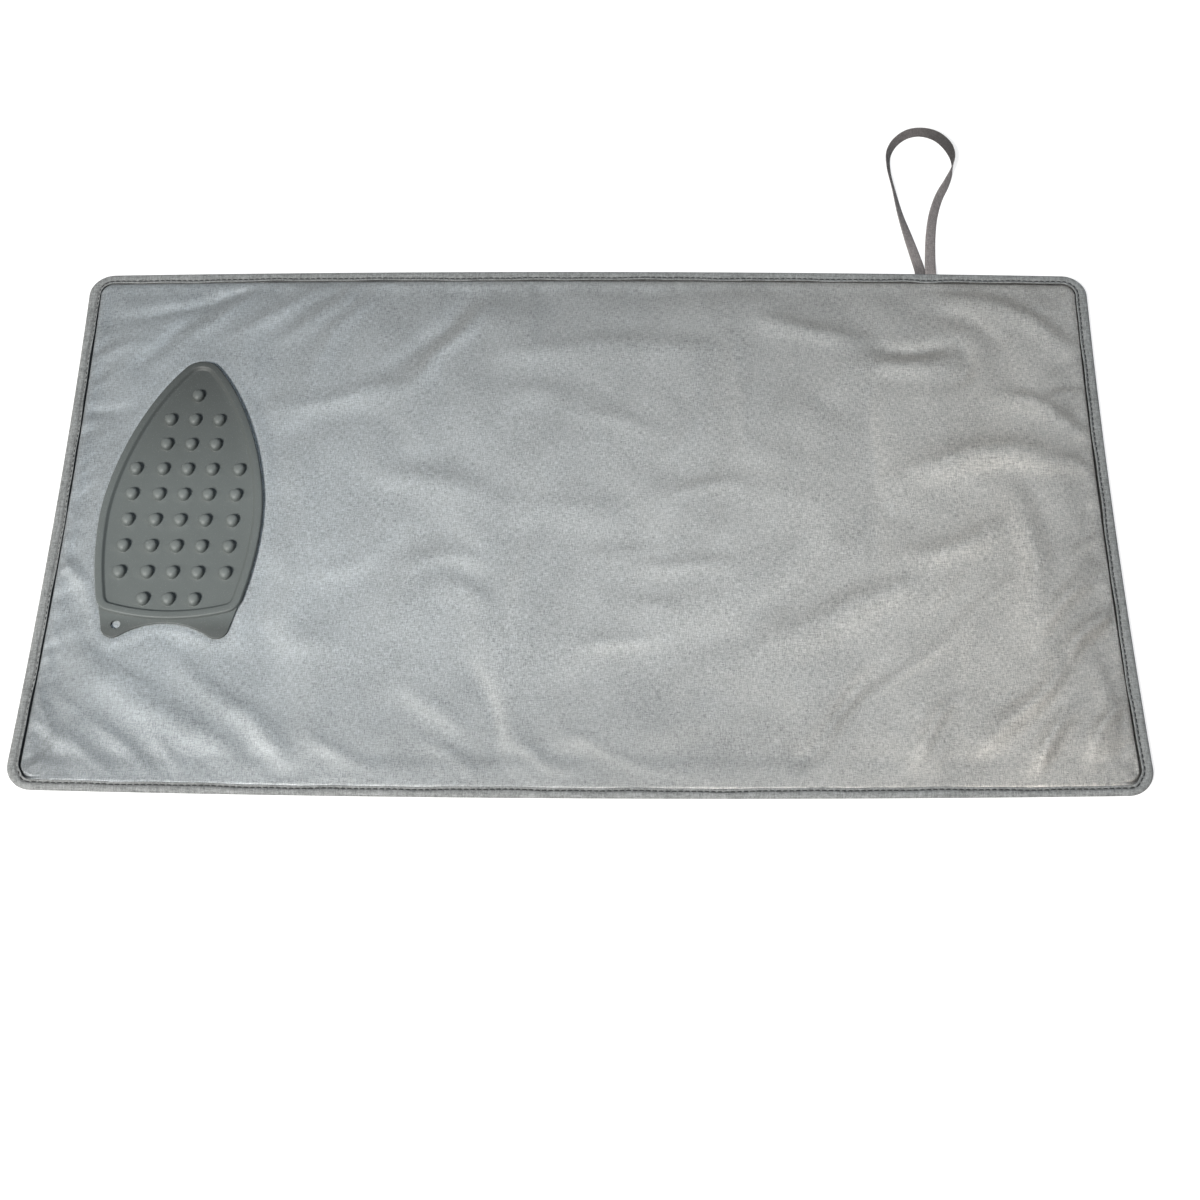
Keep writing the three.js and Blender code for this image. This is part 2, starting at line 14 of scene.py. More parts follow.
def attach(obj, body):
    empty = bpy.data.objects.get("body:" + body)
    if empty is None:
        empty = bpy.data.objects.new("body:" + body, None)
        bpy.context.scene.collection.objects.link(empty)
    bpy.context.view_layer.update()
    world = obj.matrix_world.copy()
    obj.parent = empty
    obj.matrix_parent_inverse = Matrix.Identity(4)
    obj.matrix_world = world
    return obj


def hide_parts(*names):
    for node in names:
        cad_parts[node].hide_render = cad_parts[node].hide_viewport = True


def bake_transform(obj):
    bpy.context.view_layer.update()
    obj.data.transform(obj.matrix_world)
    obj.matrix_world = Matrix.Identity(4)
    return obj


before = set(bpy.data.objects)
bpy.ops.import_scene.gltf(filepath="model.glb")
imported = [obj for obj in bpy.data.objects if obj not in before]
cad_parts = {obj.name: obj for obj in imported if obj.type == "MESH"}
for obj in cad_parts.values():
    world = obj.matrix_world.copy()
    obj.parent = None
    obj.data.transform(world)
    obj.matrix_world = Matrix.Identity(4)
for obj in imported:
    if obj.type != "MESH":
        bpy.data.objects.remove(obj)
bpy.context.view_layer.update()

METRE = 1000.0

# Pad
PAD_LENGTH = 900
PAD_WIDTH = 500
HALF_LENGTH = PAD_LENGTH / 2
HALF_WIDTH = PAD_WIDTH / 2
CORNER_RADIUS = 22
SHORT_EDGE_DRAW = 4
LONG_EDGE_BOW = 5
CLOTH = 0.5
FACE_PRESSED = 4.7  # top of the face cloth under the binding
FACE_TOP = 7.1
BACK_PRESSED = 1.5
WADDING_SINK = 0.8  # the wadding's top under the face cloth
CROWN_RUN = 50
CLOTH_STEP = 3.4
EDGE_LINES = [4.2, 8.6, 9.6, 10.0, 10.4, 10.9, 11.5, 12.3, 13.4, 15, 17, 19.5]  # in from the pad's edge
SLOT_DEPTH = 2.0  # of the dark line between the binding's lip and the cloth
SLOT_WIDTH = 0.62
SWELL = 1.1  # the cloth's roll beside the binding
SWELL_PLACE = 5
SWELL_WIDTH = 6
SWELL_NEAR_GAP = 12  # it fades out this close to the near edge
SWELL_NEAR_RUN = 25
NEAR_ENDS = 10  # the near edge's tight stretch stops this far from the short edges
NEAR_ENDS_RUN = 18
NEAR_BAND = 30  # and this far in from the near edge
NEAR_BAND_RUN = 10
NEAR_TIGHT = 1.2  # how much higher the cloth stands against the lip there
TIGHT_START = 3  # how far under the lip that begins
TIGHT_RUN = 2.5
HELD_RUN = 12  # from the lip to where the cloth's relief is full
HELD_NEAR_RUN = 16  # how much longer that is on the near side
HELD_NEAR_BAND = 60
HELD_NEAR_FADE = 40
BACK_RIPPLE = 0.12
BACK_RIPPLE_SIZE = 60
BACK_RIPPLE_RUN = 20
BACK_GAP = 0.3  # between the wadding and the back cloth

# Binding and seam
BINDING_FLAP = 10
BINDING_CLOTH = 1.2
BINDING_THICKNESS = 6.2
BINDING_ROUND = BINDING_THICKNESS / 2
SEAM_INSET = 7.7
STITCH_PITCH = 5.06
STITCH_SHARE = 0.4  # half of a stitch's length as a share of the pitch
THREAD_RADIUS = 0.52
LEFT_SEAM_SHIFT = 2.4  # twice how much nearer to the lip the stitches run at the left end
NEAR_SEAM_SHIFT = 2.4  # how much closer to the edge the binding's lip and seam are on the near side
SEAM_GROOVE = 0.75
SEAM_GROOVE_WIDTH = 0.9
STATIONS_A_STITCH = 6
SWAYS = [(0.35, 9, 0), (0.3, 23, 1), (0.2, 57, 2)]  # of the seam: height, waves round the pad, phase
TAPE_BULGE = 13  # half width of the binding's bulge over the loop's ends
TAPE_PUSH = 1.6  # how far it is pushed in there
TAPE_LIFT = 0.5
LIP_ROUND = 0.5
FLAP_BAND = 0.4  # what counts as the binding's top or bottom
PLUMP = 0.18  # its slow swelling along the edge
PLUMP_WAVE = 17.0
PLUMP_DRIFT = 41.0
FAR_FACING = 0.9  # parts of the edge that face this much to the far side
NEAR_FACING = 0.6
GROOVE_BETWEEN = 0.75  # depth of the groove between the needle holes, as a share
GROOVE_AT_HOLES = 0.35  # what is added at them
GROOVE_UNDER = 0.8  # and how much of it shows underneath
TOP_SEAT = 0.8  # how deep the stitches lie in the groove, as a share
UNDER_SEAT = 0.75
# painted shade in the seam's groove on the binding, as a share
SEAM_SHADE = 0.4
LIP_SHADE_START = 0.35  # how far below the binding's top the lip's painted shade begins
LIP_SHADE_RUN = 0.4
LIP_NEAR_LOSS = 0.8  # share of that shade that the near edge lacks

# Hanging loop
TAPE_WIDTH = 10
TAPE_THICKNESS = 0.8
LOOP_X = 307
LOOP_CLEARANCE = 0.5
LOOP_END_STEP = 1.4
LOOP_SETTLE = 24
FLOOR_CLEARANCE = 0.1
TAPE_TUCK = 2.4  # how far the tape's ends go into the binding
TAPE_CREASE = 60  # angle over which its edges look sharp
BOW_SHADE_START = 80  # painted shade on the bow's inner face from this far out
BOW_SHADE_RUN = 50
FOOT_SHADE_REACH = 18  # and painted shade on the left leg's foot up to this far out
LOOP_ROUTE = [  # sideways, outward, turn in degrees
    (-4.6, 0, 0), (-4.7, 4, 0), (-7, 18, -5), (-12.5, 42, -20), (-18.5, 68.5, -45), (-22.5, 95, -60),
    (-26, 122, -62), (-25, 140, -63), (-18, 154, -66), (-6, 164, -70), (7, 166.5, -74), (21, 162, -62),
    (31, 150.5, -54), (35, 135, -75), (32.5, 119, -101), (27, 105.5, -120), (18.5, 88.5, -135),
    (12, 68.5, -148), (8, 45.5, -160), (5.6, 18, -173), (4.7, 4, -180), (4.6, 0, -180),
]

# Iron rest
REST_PLACE = (-338, -103.5, 7.4)
REST_TURN = -0.65
REST_LENGTH = 254
REST_WIDTH = 137
REST_WIDEST = 93
REST_REAR_WIDTH = 120
REST_REAR_RISE = 19
REST_REAR_LEAN = 13
REST_REAR_RADIUS = 180
REST_REAR_ARC = 16
REST_TIP_RADIUS = 19
REST_TIP_ARC = 50
SIDE_HANDLES = {"rear": 0.25, "below_widest": 0.4, "above_widest": 0.27, "shoulder": 0.36}
REST_FLOOR = 2.5
RIM_WIDTH = 7
RIM_HEIGHT = 5
RIM_ROUND = 1.3
RIM_SLOPE = 3.2  # width of its inner slope
REST_FOOT_ROUND = 0.8
REST_CREASE = 35
REST_SURROUND = 90  # how far round it the cloth's distance to it is worked out
REST_NESTLE = 1.0  # how far the cloth rises round the rest
NESTLE_RUN = 3
NESTLE_WIDTH = 9
FREE_GAP = 1  # the cloth's relief begins this far from the rest
FREE_RUN = 14
FAR_AWAY = 99  # in place of distances that aren't worked out
NUB_RADIUS = 5.2
NUB_HEIGHT = 6
NUB_FILLET = 0.4
NUB_ROOT = 0.6  # how far it goes into the floor
NUB_SINK = 0.02
NUB_SIDES = 24
NUB_FULLNESS = 0.72  # under 1 fills the dome out towards a cylinder
NUB_STRETCH = 1.1  # length of a nub along the rest as a share of its width
NUB_TAPER = 0.12  # how much narrower it gets towards the rear
NUB_ROW_PITCH = 25
NUB_COLUMN_PITCH = 21
NUB_OUTER_STEP = 23
NUB_REAR_MARGIN = 17.5
NUBS_IN_ROW = [3, 5, 5, 5, 5, 5, 3, 3, 1]
TAIL_THICKNESS = 2.2
TAIL_REACH = 16.6
TAIL_NOTCH = 3
TAIL_ROOT_WIDTH = 117
TAIL_ROOT = 18
TAIL_ROUND = 0.6
LOBE_RADIUS = 10
LOBE_SPACING = 85
HANG_HOLE = 8
HANG_HOLE_PLACE = (-40.6, -5)
HOLE_CUT = (-3.0, 6.0)  # from where to where it is cut

# Folds of the face cloth: height over the crest or depth of the valley, half width, points along it
FOLDS = [
    # Drag folds from the left edge to the near corner
    (1.4, 14.4, (-443, -81), (-403, -127), (-368, -165), (-328, -189), (-288, -209), (-251, -236)),
    (1.2, 9.9, (-343, -128), (-283, -173), (-254, -193), (-223, -236)),
    (1.7, 6.3, (-443, -37), (-421, -51), (-406, -73), (-390, -102)),
    (0.8, 7.2, (-219, -201), (-179, -223), (-144, -246)),
    (0.9, 3.6, (-443, -153), (-425, -181), (-414, -203)),
    (0.9, 3.6, (-445, -179), (-425, -195), (-407, -214)),
    (0.6, 2.7, (-443, -212), (-422, -228), (-409, -236)),
    (0.8, 4.5, (-412, -201), (-383, -223), (-356, -248)),
    (0.9, 5.4, (-390, -191), (-353, -216), (-330, -248)),
    (0.6, 4.5, (-334, -207), (-310, -236), (-304, -248)),
    (0.6, 2.7, (-441, -112), (-430, -133), (-421, -158)),
    (0.6, 2.7, (-441, -92), (-427, -116), (-416, -143)),
    (0.6, 2.7, (-425, -160), (-409, -176), (-398, -188)),
    (0.6, 3.6, (-374, -150), (-352, -163), (-330, -170)),
    # Folds that lean in from the far edge on the left
    (-1.5, 8, (-400, 140), (-363, 183), (-336, 208)),
    (-1.9, 8, (-423, 199), (-358, 211), (-324, 223), (-269, 248)),
    (1.4, 8, (-350, 175), (-324, 204), (-289, 242)),
    (1.5, 8, (-307, 183), (-269, 211), (-227, 246)),
    (1.5, 9, (-274, 175), (-231, 212), (-204, 248)),
    (1.2, 9, (-239, 143), (-217, 188), (-182, 246)),
    (-1.2, 6, (-443, 102), (-423, 101), (-400, 106)),
    (1.1, 7, (-438, 153), (-416, 171), (-394, 175)),
    (0.9, 9, (-261, 110), (-224, 108), (-180, 124), (-150, 131)),
    (-1.8, 9, (-178, 135), (-130, 189), (-100, 224)),
    (2, 9, (-155, 120), (-118, 178), (-88, 216)),
    # Creases from its packing
    (0.5, 6, (-47, 218), (-45, 179), (-46, 133)),
    (0.8, 12, (-95, 161), (-21, 170), (59, 174), (143, 164)),
    (0.7, 6, (132, 209), (135, 133), (144, 52)),
    (0.4, 7, (96, 163), (95, 133), (98, 97)),
    (-0.8, 7, (262, 145), (250, 111), (249, 42), (246, -50)),
    (0.7, 8, (-6, 94), (29, 95), (67, 84)),
    (0.5, 8, (-61, 125), (-41, 127), (-23, 121)),
    (0.5, 7, (91, 94), (79, 68), (61, 54)),
    (0.7, 12, (-160, 37), (-105, 31), (-72, 13)),
    (0.5, 12, (-60, 11), (-16, 5), (29, 11)),
    (0.8, 7, (69, 14), (104, 26), (143, 32)),
    (0.6, 9, (-164, -51), (-100, -42), (-72, -53)),
    (0.6, 9, (-224, -59), (-194, -51), (-165, -30)),
    (0.6, 8, (-34, -8), (-46, -61), (-51, -106)),
    (0.5, 6, (11, -42), (35, -40), (63, -37)),
    (0.8, 7, (51, -58), (84, -48), (125, -45)),
    (0.5, 9, (29, -89), (57, -88), (87, -83)),
    (0.7, 7, (-6, -127), (27, -122), (59, -114)),
    (0.5, 8, (-115, -59), (-92, -75), (-74, -93)),
    # Near edge
    (-0.7, 8, (-86, -140), (-68, -183), (-58, -230)),
    (0.7, 9, (-140, -163), (-110, -181), (-92, -203)),
    (0.8, 5, (-116, -209), (-92, -228), (-78, -248)),
    (0.8, 5, (-44, -209), (-24, -226), (-2, -234)),
    (0.6, 6, (-18, -208), (4, -206), (12, -217)),
    (0.8, 5, (18, -220), (59, -232), (101, -244)),
    # Right half
    (2, 15.4, (149, -130), (213, -93), (283, -62)),
    (-1.4, 11, (146, -99), (170, -73), (196, -28)),
    (2.5, 13.2, (263, -46), (315, -30), (359, -3)),
    (1.5, 7.8, (286, -87), (302, -66), (315, -46)),
    (0.9, 4.4, (198, -201), (258, -147), (298, -116), (337, -81), (361, -46)),
    (2.3, 12.1, (367, 26), (376, -40), (365, -93)),
    (2.6, 8, (429, -46), (397, -78), (369, -113)),
    (3.1, 6.6, (443, -80), (407, -109), (391, -136)),
    (3, 9, (387, -126), (369, -162), (343, -185), (313, -217)),
    (2.3, 6.6, (300, -170), (276, -203), (260, -236)),
    (3.3, 8, (391, -178), (365, -211), (346, -248)),
    (2.1, 8.8, (415, -134), (421, -182), (405, -223)),
    (-2.3, 7.8, (242, -142), (210, -181), (167, -242)),
    (2, 5, (436, -168), (412, -192), (398, -226)),
    (1.6, 4.5, (440, -14), (420, -28), (404, -50)),
    (1.5, 4.5, (436, 128), (416, 122), (398, 108)),
    (0.9, 5.5, (327, -99), (316, -126), (308, -150)),
    (1.1, 6.6, (292, -205), (276, -229), (264, -248)),
    (1.8, 9.9, (153, 204), (198, 190), (245, 178)),
    (-2, 8.8, (245, 176), (285, 167), (323, 172)),
    (1.6, 9.9, (247, 156), (287, 152), (319, 154)),
    (-1.5, 6.6, (334, 176), (333, 143), (309, 127)),
    (3.3, 16.5, (275, 35), (327, 57), (372, 64), (412, 56)),
    (1.6, 8.8, (385, 54), (417, 49), (443, 32)),
    (2.4, 11, (305, 227), (367, 213), (397, 197), (436, 160)),
    (-1.1, 9.9, (303, 207), (342, 196), (369, 168)),
    (1.8, 8.8, (359, 121), (397, 109), (441, 70)),
]
FOLD_DEPTH = 1.3  # all folds together
FOLD_SPREAD = 0.9
FOLD_LEAN = 0.25  # how much wider a fold's lit side is, and its dark side narrower
LIT_WAY = (0.59, 0.81)  # from the lit side of a fold to its dark side
FOLD_STEPS = 8  # straight lengths between two of a fold's points
FOLD_WANDER = 3.5  # how far a fold strays from its line
FOLD_WANDER_SIZE = 34
FOLD_REACH = 3  # half widths beyond which a fold is nothing
FOLD_ENDS = 0.02  # share of a fold at each end that fades no further
WAVES = [(1.0, 120, 3), (0.9, 56, 5), (0.28, 22, 8)]  # height, size and seed of the cloth's waves
SIM_STEP = 4.5  # between the points of the simulated cloth
SIM_FRAMES = 12
SIM_GROWTH = 0.006  # how much too large the cloth is for its frame
SIM_RULES = {
    "quality": 6,
    "mass": 0.02,
    "air_damping": 2,
    "tension_stiffness": 8,
    "compression_stiffness": 8,
    "shear_stiffness": 3,
    "bending_stiffness": 4,
    "shrink_min": -SIM_GROWTH,
    "use_pressure": True,
    "uniform_pressure_force": 0.5,
}
SIM_HELD = 1  # fully held to this far from the binding and the rest
SIM_EDGE_RUN = 6
SIM_REST_RUN = 8
SIM_CAP = 5  # most that it may lift or sink
SIM_SMOOTH = 5  # reach of the bells that carry its heights to a finer grid
SIM_BROAD = 40  # forms wider than this are mostly left to the crown
SIM_BROAD_SHARE = 0.8
SLACK_SHARE = 0.38  # of the waves and slack that are left after pressing
PUCKERS = {"left": 1.2, "right": 1.6, "near": 0.35, "far": 0.6}
PUCKER_SIZE = 8
PUCKER_RUN = 16
PUCKER_SLANT = 0.6
PUCKER_DRAW = 0.25  # how slowly a gather changes away from the edge
PUCKER_START = 4
LATTICE = 97  # random values along each side of a drift's square

# Camera: the photograph's viewpoint
CAMERA_PLACE = (41.51, -776.75, 1326.07)
CAMERA_PITCH = 1.086224
CAMERA_YAW = -0.036363
CAMERA_ROLL = -0.028433
CAMERA_LENS = 54.58
CAMERA_SENSOR = 36

# Table and light
FLOOR_SIDE = 4000
FLOOR_DROP = 0.2
FLOOR_SEEN = (0.32, 0.32, 0.32, 1)
FLOOR_GLOW = 0.78
CEILING = 0.05  # its light as a share of the walls'
LAMPS = [  # name, place, target, width, height, watts, tint
    ("key", (-1.62, -2.21, 3.05), (0, 0, 0), 0.9, 0.9, 290, (1.0, 0.985, 0.955)),
    ("beyond", (0.15, 0.8, 2.2), (0, 0, 0), 1.6, 0.6, 6, (0.72, 0.86, 1.0)),
    ("right", (1.3, 1.0, 2.2), (0.2, 0, 0), 0.7, 0.7, 8, (0.74, 0.87, 1.0)),
]


def smooth(t):
    """Step from 0 to 1 with flat ends: 3t squared less 2t cubed, held outside."""
    t = np.clip(t, 0, 1)
    return t * t * (3 - 2 * t)


def bell(away, width):
    """Bell: e to the power of less the square of the distance over the width."""
    return np.exp(-((away / width) ** 2))


def drift(x, y, size, seed):
    """Random height from -1 to 1: values at the corners of square cells, blended by the smooth step."""
    values = np.random.default_rng(seed).uniform(-1, 1, (LATTICE, LATTICE))
    across = x / size + LATTICE / 2
    along = y / size + LATTICE / 2
    i = np.floor(across).astype(int)
    j = np.floor(along).astype(int)
    u = smooth(across - i)
    v = smooth(along - j)
    left, right = i % LATTICE, (i + 1) % LATTICE
    near, far = j % LATTICE, (j + 1) % LATTICE
    low = values[near, left] * (1 - u) + values[near, right] * u
    high = values[far, left] * (1 - u) + values[far, right] * u
    return low * (1 - v) + high * v


def through(points, steps):
    """Smooth line through points, in even steps between each two: a centripetal Catmull-Rom spline,
    whose knots are the square roots of the plan distances between the points."""
    points = np.array(points, float)
    padded = np.vstack([2 * points[0] - points[1], points, 2 * points[-1] - points[-2]])
    knots = np.sqrt(np.linalg.norm(np.diff(padded[:, :2], axis=0), axis=1))[:, None]
    before, here, after = knots[:-2], knots[1:-1], knots[2:]
    p0, p1, p2, p3 = padded[:-3], padded[1:-2], padded[2:-1], padded[3:]
    leave = ((p1 - p0) / before - (p2 - p0) / (before + here) + (p2 - p1) / here) * here
    arrive = ((p2 - p1) / here - (p3 - p1) / (here + after) + (p3 - p2) / after) * here
    t = (np.arange(steps) / steps)[None, :, None]
    square = -3 * p1 + 3 * p2 - 2 * leave - arrive
    cube = 2 * p1 - 2 * p2 + leave + arrive
    line = p1[:, None] + leave[:, None] * t + square[:, None] * t**2 + cube[:, None] * t**3
    return np.vstack([line.reshape(-1, points.shape[1]), points[-1:]])


def grid_faces(rows, columns, rows_close=False, columns_close=False):
    """Four-cornered faces of a grid of points, counted row by row."""
    i = np.arange(rows if rows_close else rows - 1)[:, None]
    j = np.arange(columns if columns_close else columns - 1)[None, :]
    i_next = (i + 1) % rows
    j_next = (j + 1) % columns
    corners = [i * columns + j, i * columns + j_next, i_next * columns + j_next, i_next * columns + j]
    return np.stack([c.ravel() for c in corners], axis=1)


def tube_faces(rings, count):
    """Faces of a closed tube of rings of points: its skin, and a cap on each end."""
    skin = grid_faces(rings, count, columns_close=True).tolist()
    first = list(range(count))
    return [*skin, first[::-1], [(rings - 1) * count + k for k in first]]


def repeated(faces, times, step):
    """Faces of one shape for a number of copies whose points follow each other."""
    return [[corner + k * step for corner in face] for k in range(times) for face in faces]


def raised(plan, height):
    """Plan points at a height."""
    return np.column_stack([plan, np.full(len(plan), height)])


def add_object(name, data):
    made = bpy.data.objects.new(name, data)
    bpy.context.scene.collection.objects.link(made)
    return made


def make_piece(name, points, faces, material=None, flat_over=None):
    """Smooth object of millimetre points and faces, at the origin; edges sharper than flat_over are split."""
    mesh = bpy.data.meshes.new(name)
    mesh.from_pydata((np.asarray(points).reshape(-1, 3) / METRE).tolist(), [], [list(f) for f in faces])
    mesh.validate()
    mesh.shade_smooth()
    if flat_over is not None:
        mesh.set_sharp_from_angle(angle=math.radians(flat_over))
    if material is not None:
        mesh.materials.append(material)
    return add_object(name, mesh)


def give_shade(piece, shares):
    """Stores how much of a piece's colour is given to painted shade at each point: in the slot and groove of a
    seam, under the binding's lip, and on the tape loop.
    """
    layer = piece.data.attributes.new("painted_shade", "FLOAT", "POINT")
    layer.data.foreach_set("value", np.ascontiguousarray(shares, dtype=np.float32))


def settled(x, y):
    """The sewn outline: short edges drawn in and long edges bowed out, by parabolas along each edge."""
    along = x / HALF_LENGTH
    across = y / HALF_WIDTH
    return (
        x - SHORT_EDGE_DRAW * along * (1 - across**2),
        y + LONG_EDGE_BOW * across * (1 - along**2),
    )


# Node trees


def srgb(red, green, blue):
    """Linear colour of one given as it looks, in parts of 255."""
    parts = np.array([red, green, blue]) / 255
    linear = np.where(parts < 0.04045, parts / 12.92, ((parts + 0.055) / 1.055) ** 2.4)
    return (*linear.tolist(), 1.0)


class Tree:
    """A node tree with short words for adding nodes. What a node is given is a value or another's output."""

    def __init__(self, tree):
        self.tree = tree

    def feed(self, node, given):
        for socket, source in given.items():
            if isinstance(source, (int, float, tuple)):
                node.inputs[socket].default_value = source
            else:
                self.tree.links.new(source, node.inputs[socket])

    def add(self, kind, given=None, **settings):
        made = self.tree.nodes.new(kind)
        for name, value in settings.items():
            setattr(made, name, value)
        self.feed(made, given or {})
        return made

    def math(self, operation, first, second=0.0, third=0.0):
        return self.add("ShaderNodeMath", {0: first, 1: second, 2: third}, operation=operation).outputs[0]

    def scale(self, vector, factors):
        return self.add("ShaderNodeVectorMath", {0: vector, 1: factors}, operation="MULTIPLY").outputs[0]

    def parts(self, vector):
        return self.add("ShaderNodeSeparateXYZ", {0: vector}).outputs

    def noise(self, vector, scale, detail=2.0, roughness=0.5):
        given = {"Vector": vector, "Scale": scale, "Detail": detail, "Roughness": roughness}
        return self.add("ShaderNodeTexNoise", given).outputs[0]

    def blend(self, share, first, second, blend_type="MIX"):
        given = {0: share, 6: first, 7: second}
        return self.add("ShaderNodeMix", given, data_type="RGBA", blend_type=blend_type).outputs[2]

    def spread(self, value, low, high, to_low=0.0, to_high=1.0):
        given = {0: value, 1: low, 2: high, 3: to_low, 4: to_high}
        return self.add("ShaderNodeMapRange", given).outputs[0]

    def bump(self, height, strength, distance):
        given = {"Height": height, "Strength": strength, "Distance": distance}
        return self.add("ShaderNodeBump", given).outputs[0]


def group_of(name, inputs, outputs):
    """Empty node group with the named sockets, and its input and output nodes."""
    group = bpy.data.node_groups.new(name, "ShaderNodeTree")
    for label, kind, value in inputs:
        socket = group.interface.new_socket(label, in_out="INPUT", socket_type=kind)
        if value is not None:
            socket.default_value = value
    for label, kind in outputs:
        group.interface.new_socket(label, in_out="OUTPUT", socket_type=kind)
    tree = Tree(group)
    return group, tree, tree.add("NodeGroupInput"), tree.add("NodeGroupOutput")


def woven_group():
    """Woven cloth: Shade streaks along both sets of yarns and specks, mean a half; Relief is a plain weave
    in which each yarn is a half sine that passes over and under its neighbours in turn."""
    group, tree, given, result = group_of(
        "woven_yarns",
        [
            ("Vector", "NodeSocketVector", None),
            ("Yarns per metre", "NodeSocketFloat", 1000.0),
            ("Streak", "NodeSocketFloat", 0.2),
        ],
        [("Shade", "NodeSocketFloat"), ("Relief", "NodeSocketFloat")],
    )
    count = given.outputs["Yarns per metre"]
    whole = tree.add("ShaderNodeCombineXYZ", {0: count, 1: count, 2: count})
    yarns = tree.scale(given.outputs["Vector"], whole.outputs[0])
    shades = []
    for axis in (0, 1):
        streak = {axis: given.outputs["Streak"], 1 - axis: 1.0, 2: 0.1}
        stretch = tree.add("ShaderNodeCombineXYZ", streak)
        shades.append(tree.noise(tree.scale(yarns, stretch.outputs[0]), 0.65, detail=1.0))
    specks = tree.noise(yarns, 0.6, detail=2.0, roughness=0.7)
    lines = tree.math("MULTIPLY", tree.math("ADD", *shades), 0.3)
    total = tree.math("MULTIPLY_ADD", specks, 0.4, lines)
    parts = tree.parts(yarns)
    waves = []
    floors = []
    for axis in (0, 1):
        turn = tree.math("MULTIPLY", parts[axis], math.pi)
        waves.append(tree.math("ABSOLUTE", tree.math("SINE", turn)))
        floors.append(tree.math("FLOOR", parts[axis]))
    over = tree.math("FLOORED_MODULO", tree.math("ADD", *floors), 2.0)
    under = tree.math("SUBTRACT", 1.0, over)
    relief = tree.math("ADD", tree.math("MULTIPLY", waves[0], over), tree.math("MULTIPLY", waves[1], under))
    tree.feed(result, {"Shade": tree.spread(total, 0.37, 0.63), "Relief": relief})
    return group


def finish_of(name):
    """New material with its tree and its Principled shader."""
    material = bpy.data.materials.new(name)
    material.use_nodes = True
    tree = Tree(material.node_tree)
    return material, tree, material.node_tree.nodes["Principled BSDF"]


def place_group(tree, group, vector, **values):
    """Places a node group, with its own values."""
    given = {label.replace("_", " "): value for label, value in values.items()}
    return tree.add("ShaderNodeGroup", {"Vector": vector, **given}, node_tree=group)


def object_space(tree):
    return tree.add("ShaderNodeTexCoord").outputs["Object"]


def painted_light_group():
    """Painted light on the pad's cover: the first output is a painted tint of the light, cool at the left end
    and warm at the right, and the second rises to 1 over the outer part of the cloth as painted shade."""
    group, tree, given, result = group_of(
        "painted_cover_light",
        [("Vector", "NodeSocketVector", None)],
        [("Tint", "NodeSocketColor"), ("PaintedEdgeShade", "NodeSocketFloat")],
    )
    x, y, _ = tree.parts(given.outputs["Vector"])
    # painted tint of the light: cool at the left end, warm at the right
    tint = tree.blend(tree.spread(x, -0.35, 0.35), srgb(244, 249, 253), srgb(255, 248, 241))
    # painted shade: darker towards the ends, the far side and the near side, most at the near left corner
    along = tree.spread(tree.math("ABSOLUTE", x), 0.34, 0.45)
    across = tree.spread(y, 0.05, 0.25)
    left = tree.spread(x, -0.25, -0.42)
    near = tree.spread(y, -0.12, -0.22)
    lower = tree.math("MULTIPLY", near, tree.spread(x, 0.1, 0.25, 0.9, 0.4))
    outer = tree.math("MAXIMUM", along, tree.math("MAXIMUM", across, lower))
    edge_shade = tree.math("MULTIPLY_ADD", left, near, outer)
    tree.feed(result, {"Tint": tint, "PaintedEdgeShade": edge_shade})
    return group


def cloth_finish(
        name, dark, light, yarns, streak, roughness, metallic=0.0, relief=0.00012, vector=None, with_painted_shade=False,
        painted_light=None):
    """Woven cloth: shade between two colours by the yarns, slow clouding, and the weave as relief."""
    material, tree, shader = finish_of(name)
    place = object_space(tree) if vector is None else tree.add("ShaderNodeUVMap", uv_map=vector).outputs[0]
    woven = place_group(tree, weave, place, Yarns_per_metre=yarns, Streak=streak)
    cloud = tree.spread(tree.noise(place, 22.0, detail=3.0), 0.25, 0.75, -0.1, 0.1)
    shade = tree.math("ADD", woven.outputs["Shade"], cloud)
    colour = tree.blend(shade, dark, light)
    # painted light on the cloth: a tint of the light, and painted shade towards its outer part
    if painted_light:
        cover_light = place_group(tree, painted_light, place)
        colour = tree.blend(1.0, colour, cover_light.outputs["Tint"], "MULTIPLY")
        colour = tree.blend(tree.math("MULTIPLY", cover_light.outputs["PaintedEdgeShade"], 0.3), colour, srgb(96, 98, 100))
    if with_painted_shade:
        # painted shade, near black, by each point's stored share
        lost = tree.add("ShaderNodeAttribute", attribute_name="painted_shade").outputs["Fac"]
        colour = tree.blend(tree.math("MULTIPLY", lost, 0.93), colour, srgb(18, 19, 20))
    tree.feed(shader, {
        "Base Color": colour,
        "Roughness": tree.spread(woven.outputs["Shade"], 0, 1, roughness + 0.08, roughness - 0.08),
        "Metallic": metallic,
        "Normal": tree.bump(woven.outputs["Relief"], 0.5, relief),
    })
    return material


weave = woven_group()
painted_cover_light = painted_light_group()
silver = cloth_finish(
    "silver_cloth", srgb(143, 145, 145), srgb(223, 225, 225), 2150.0, 0.14, 0.45, metallic=0.6, with_painted_shade=True,
    painted_light=painted_cover_light)
backing = cloth_finish("back_cloth", srgb(118, 121, 122), srgb(162, 164, 165), 1300.0, 0.2, 0.85)
binding_cloth = cloth_finish(
    "binding_tape", srgb(92, 94, 94), srgb(138, 140, 140), 1500.0, 0.2, 0.85, with_painted_shade=True)
loop_tape = cloth_finish(
    "loop_tape", srgb(102, 97, 97), srgb(144, 138, 137), 1800.0, 0.15, 0.8, relief=0.0002, vector="tape",
    with_painted_shade=True)
felt = cloth_finish("felt_wadding", srgb(214, 211, 203), srgb(238, 236, 230), 500.0, 0.6, 0.95)


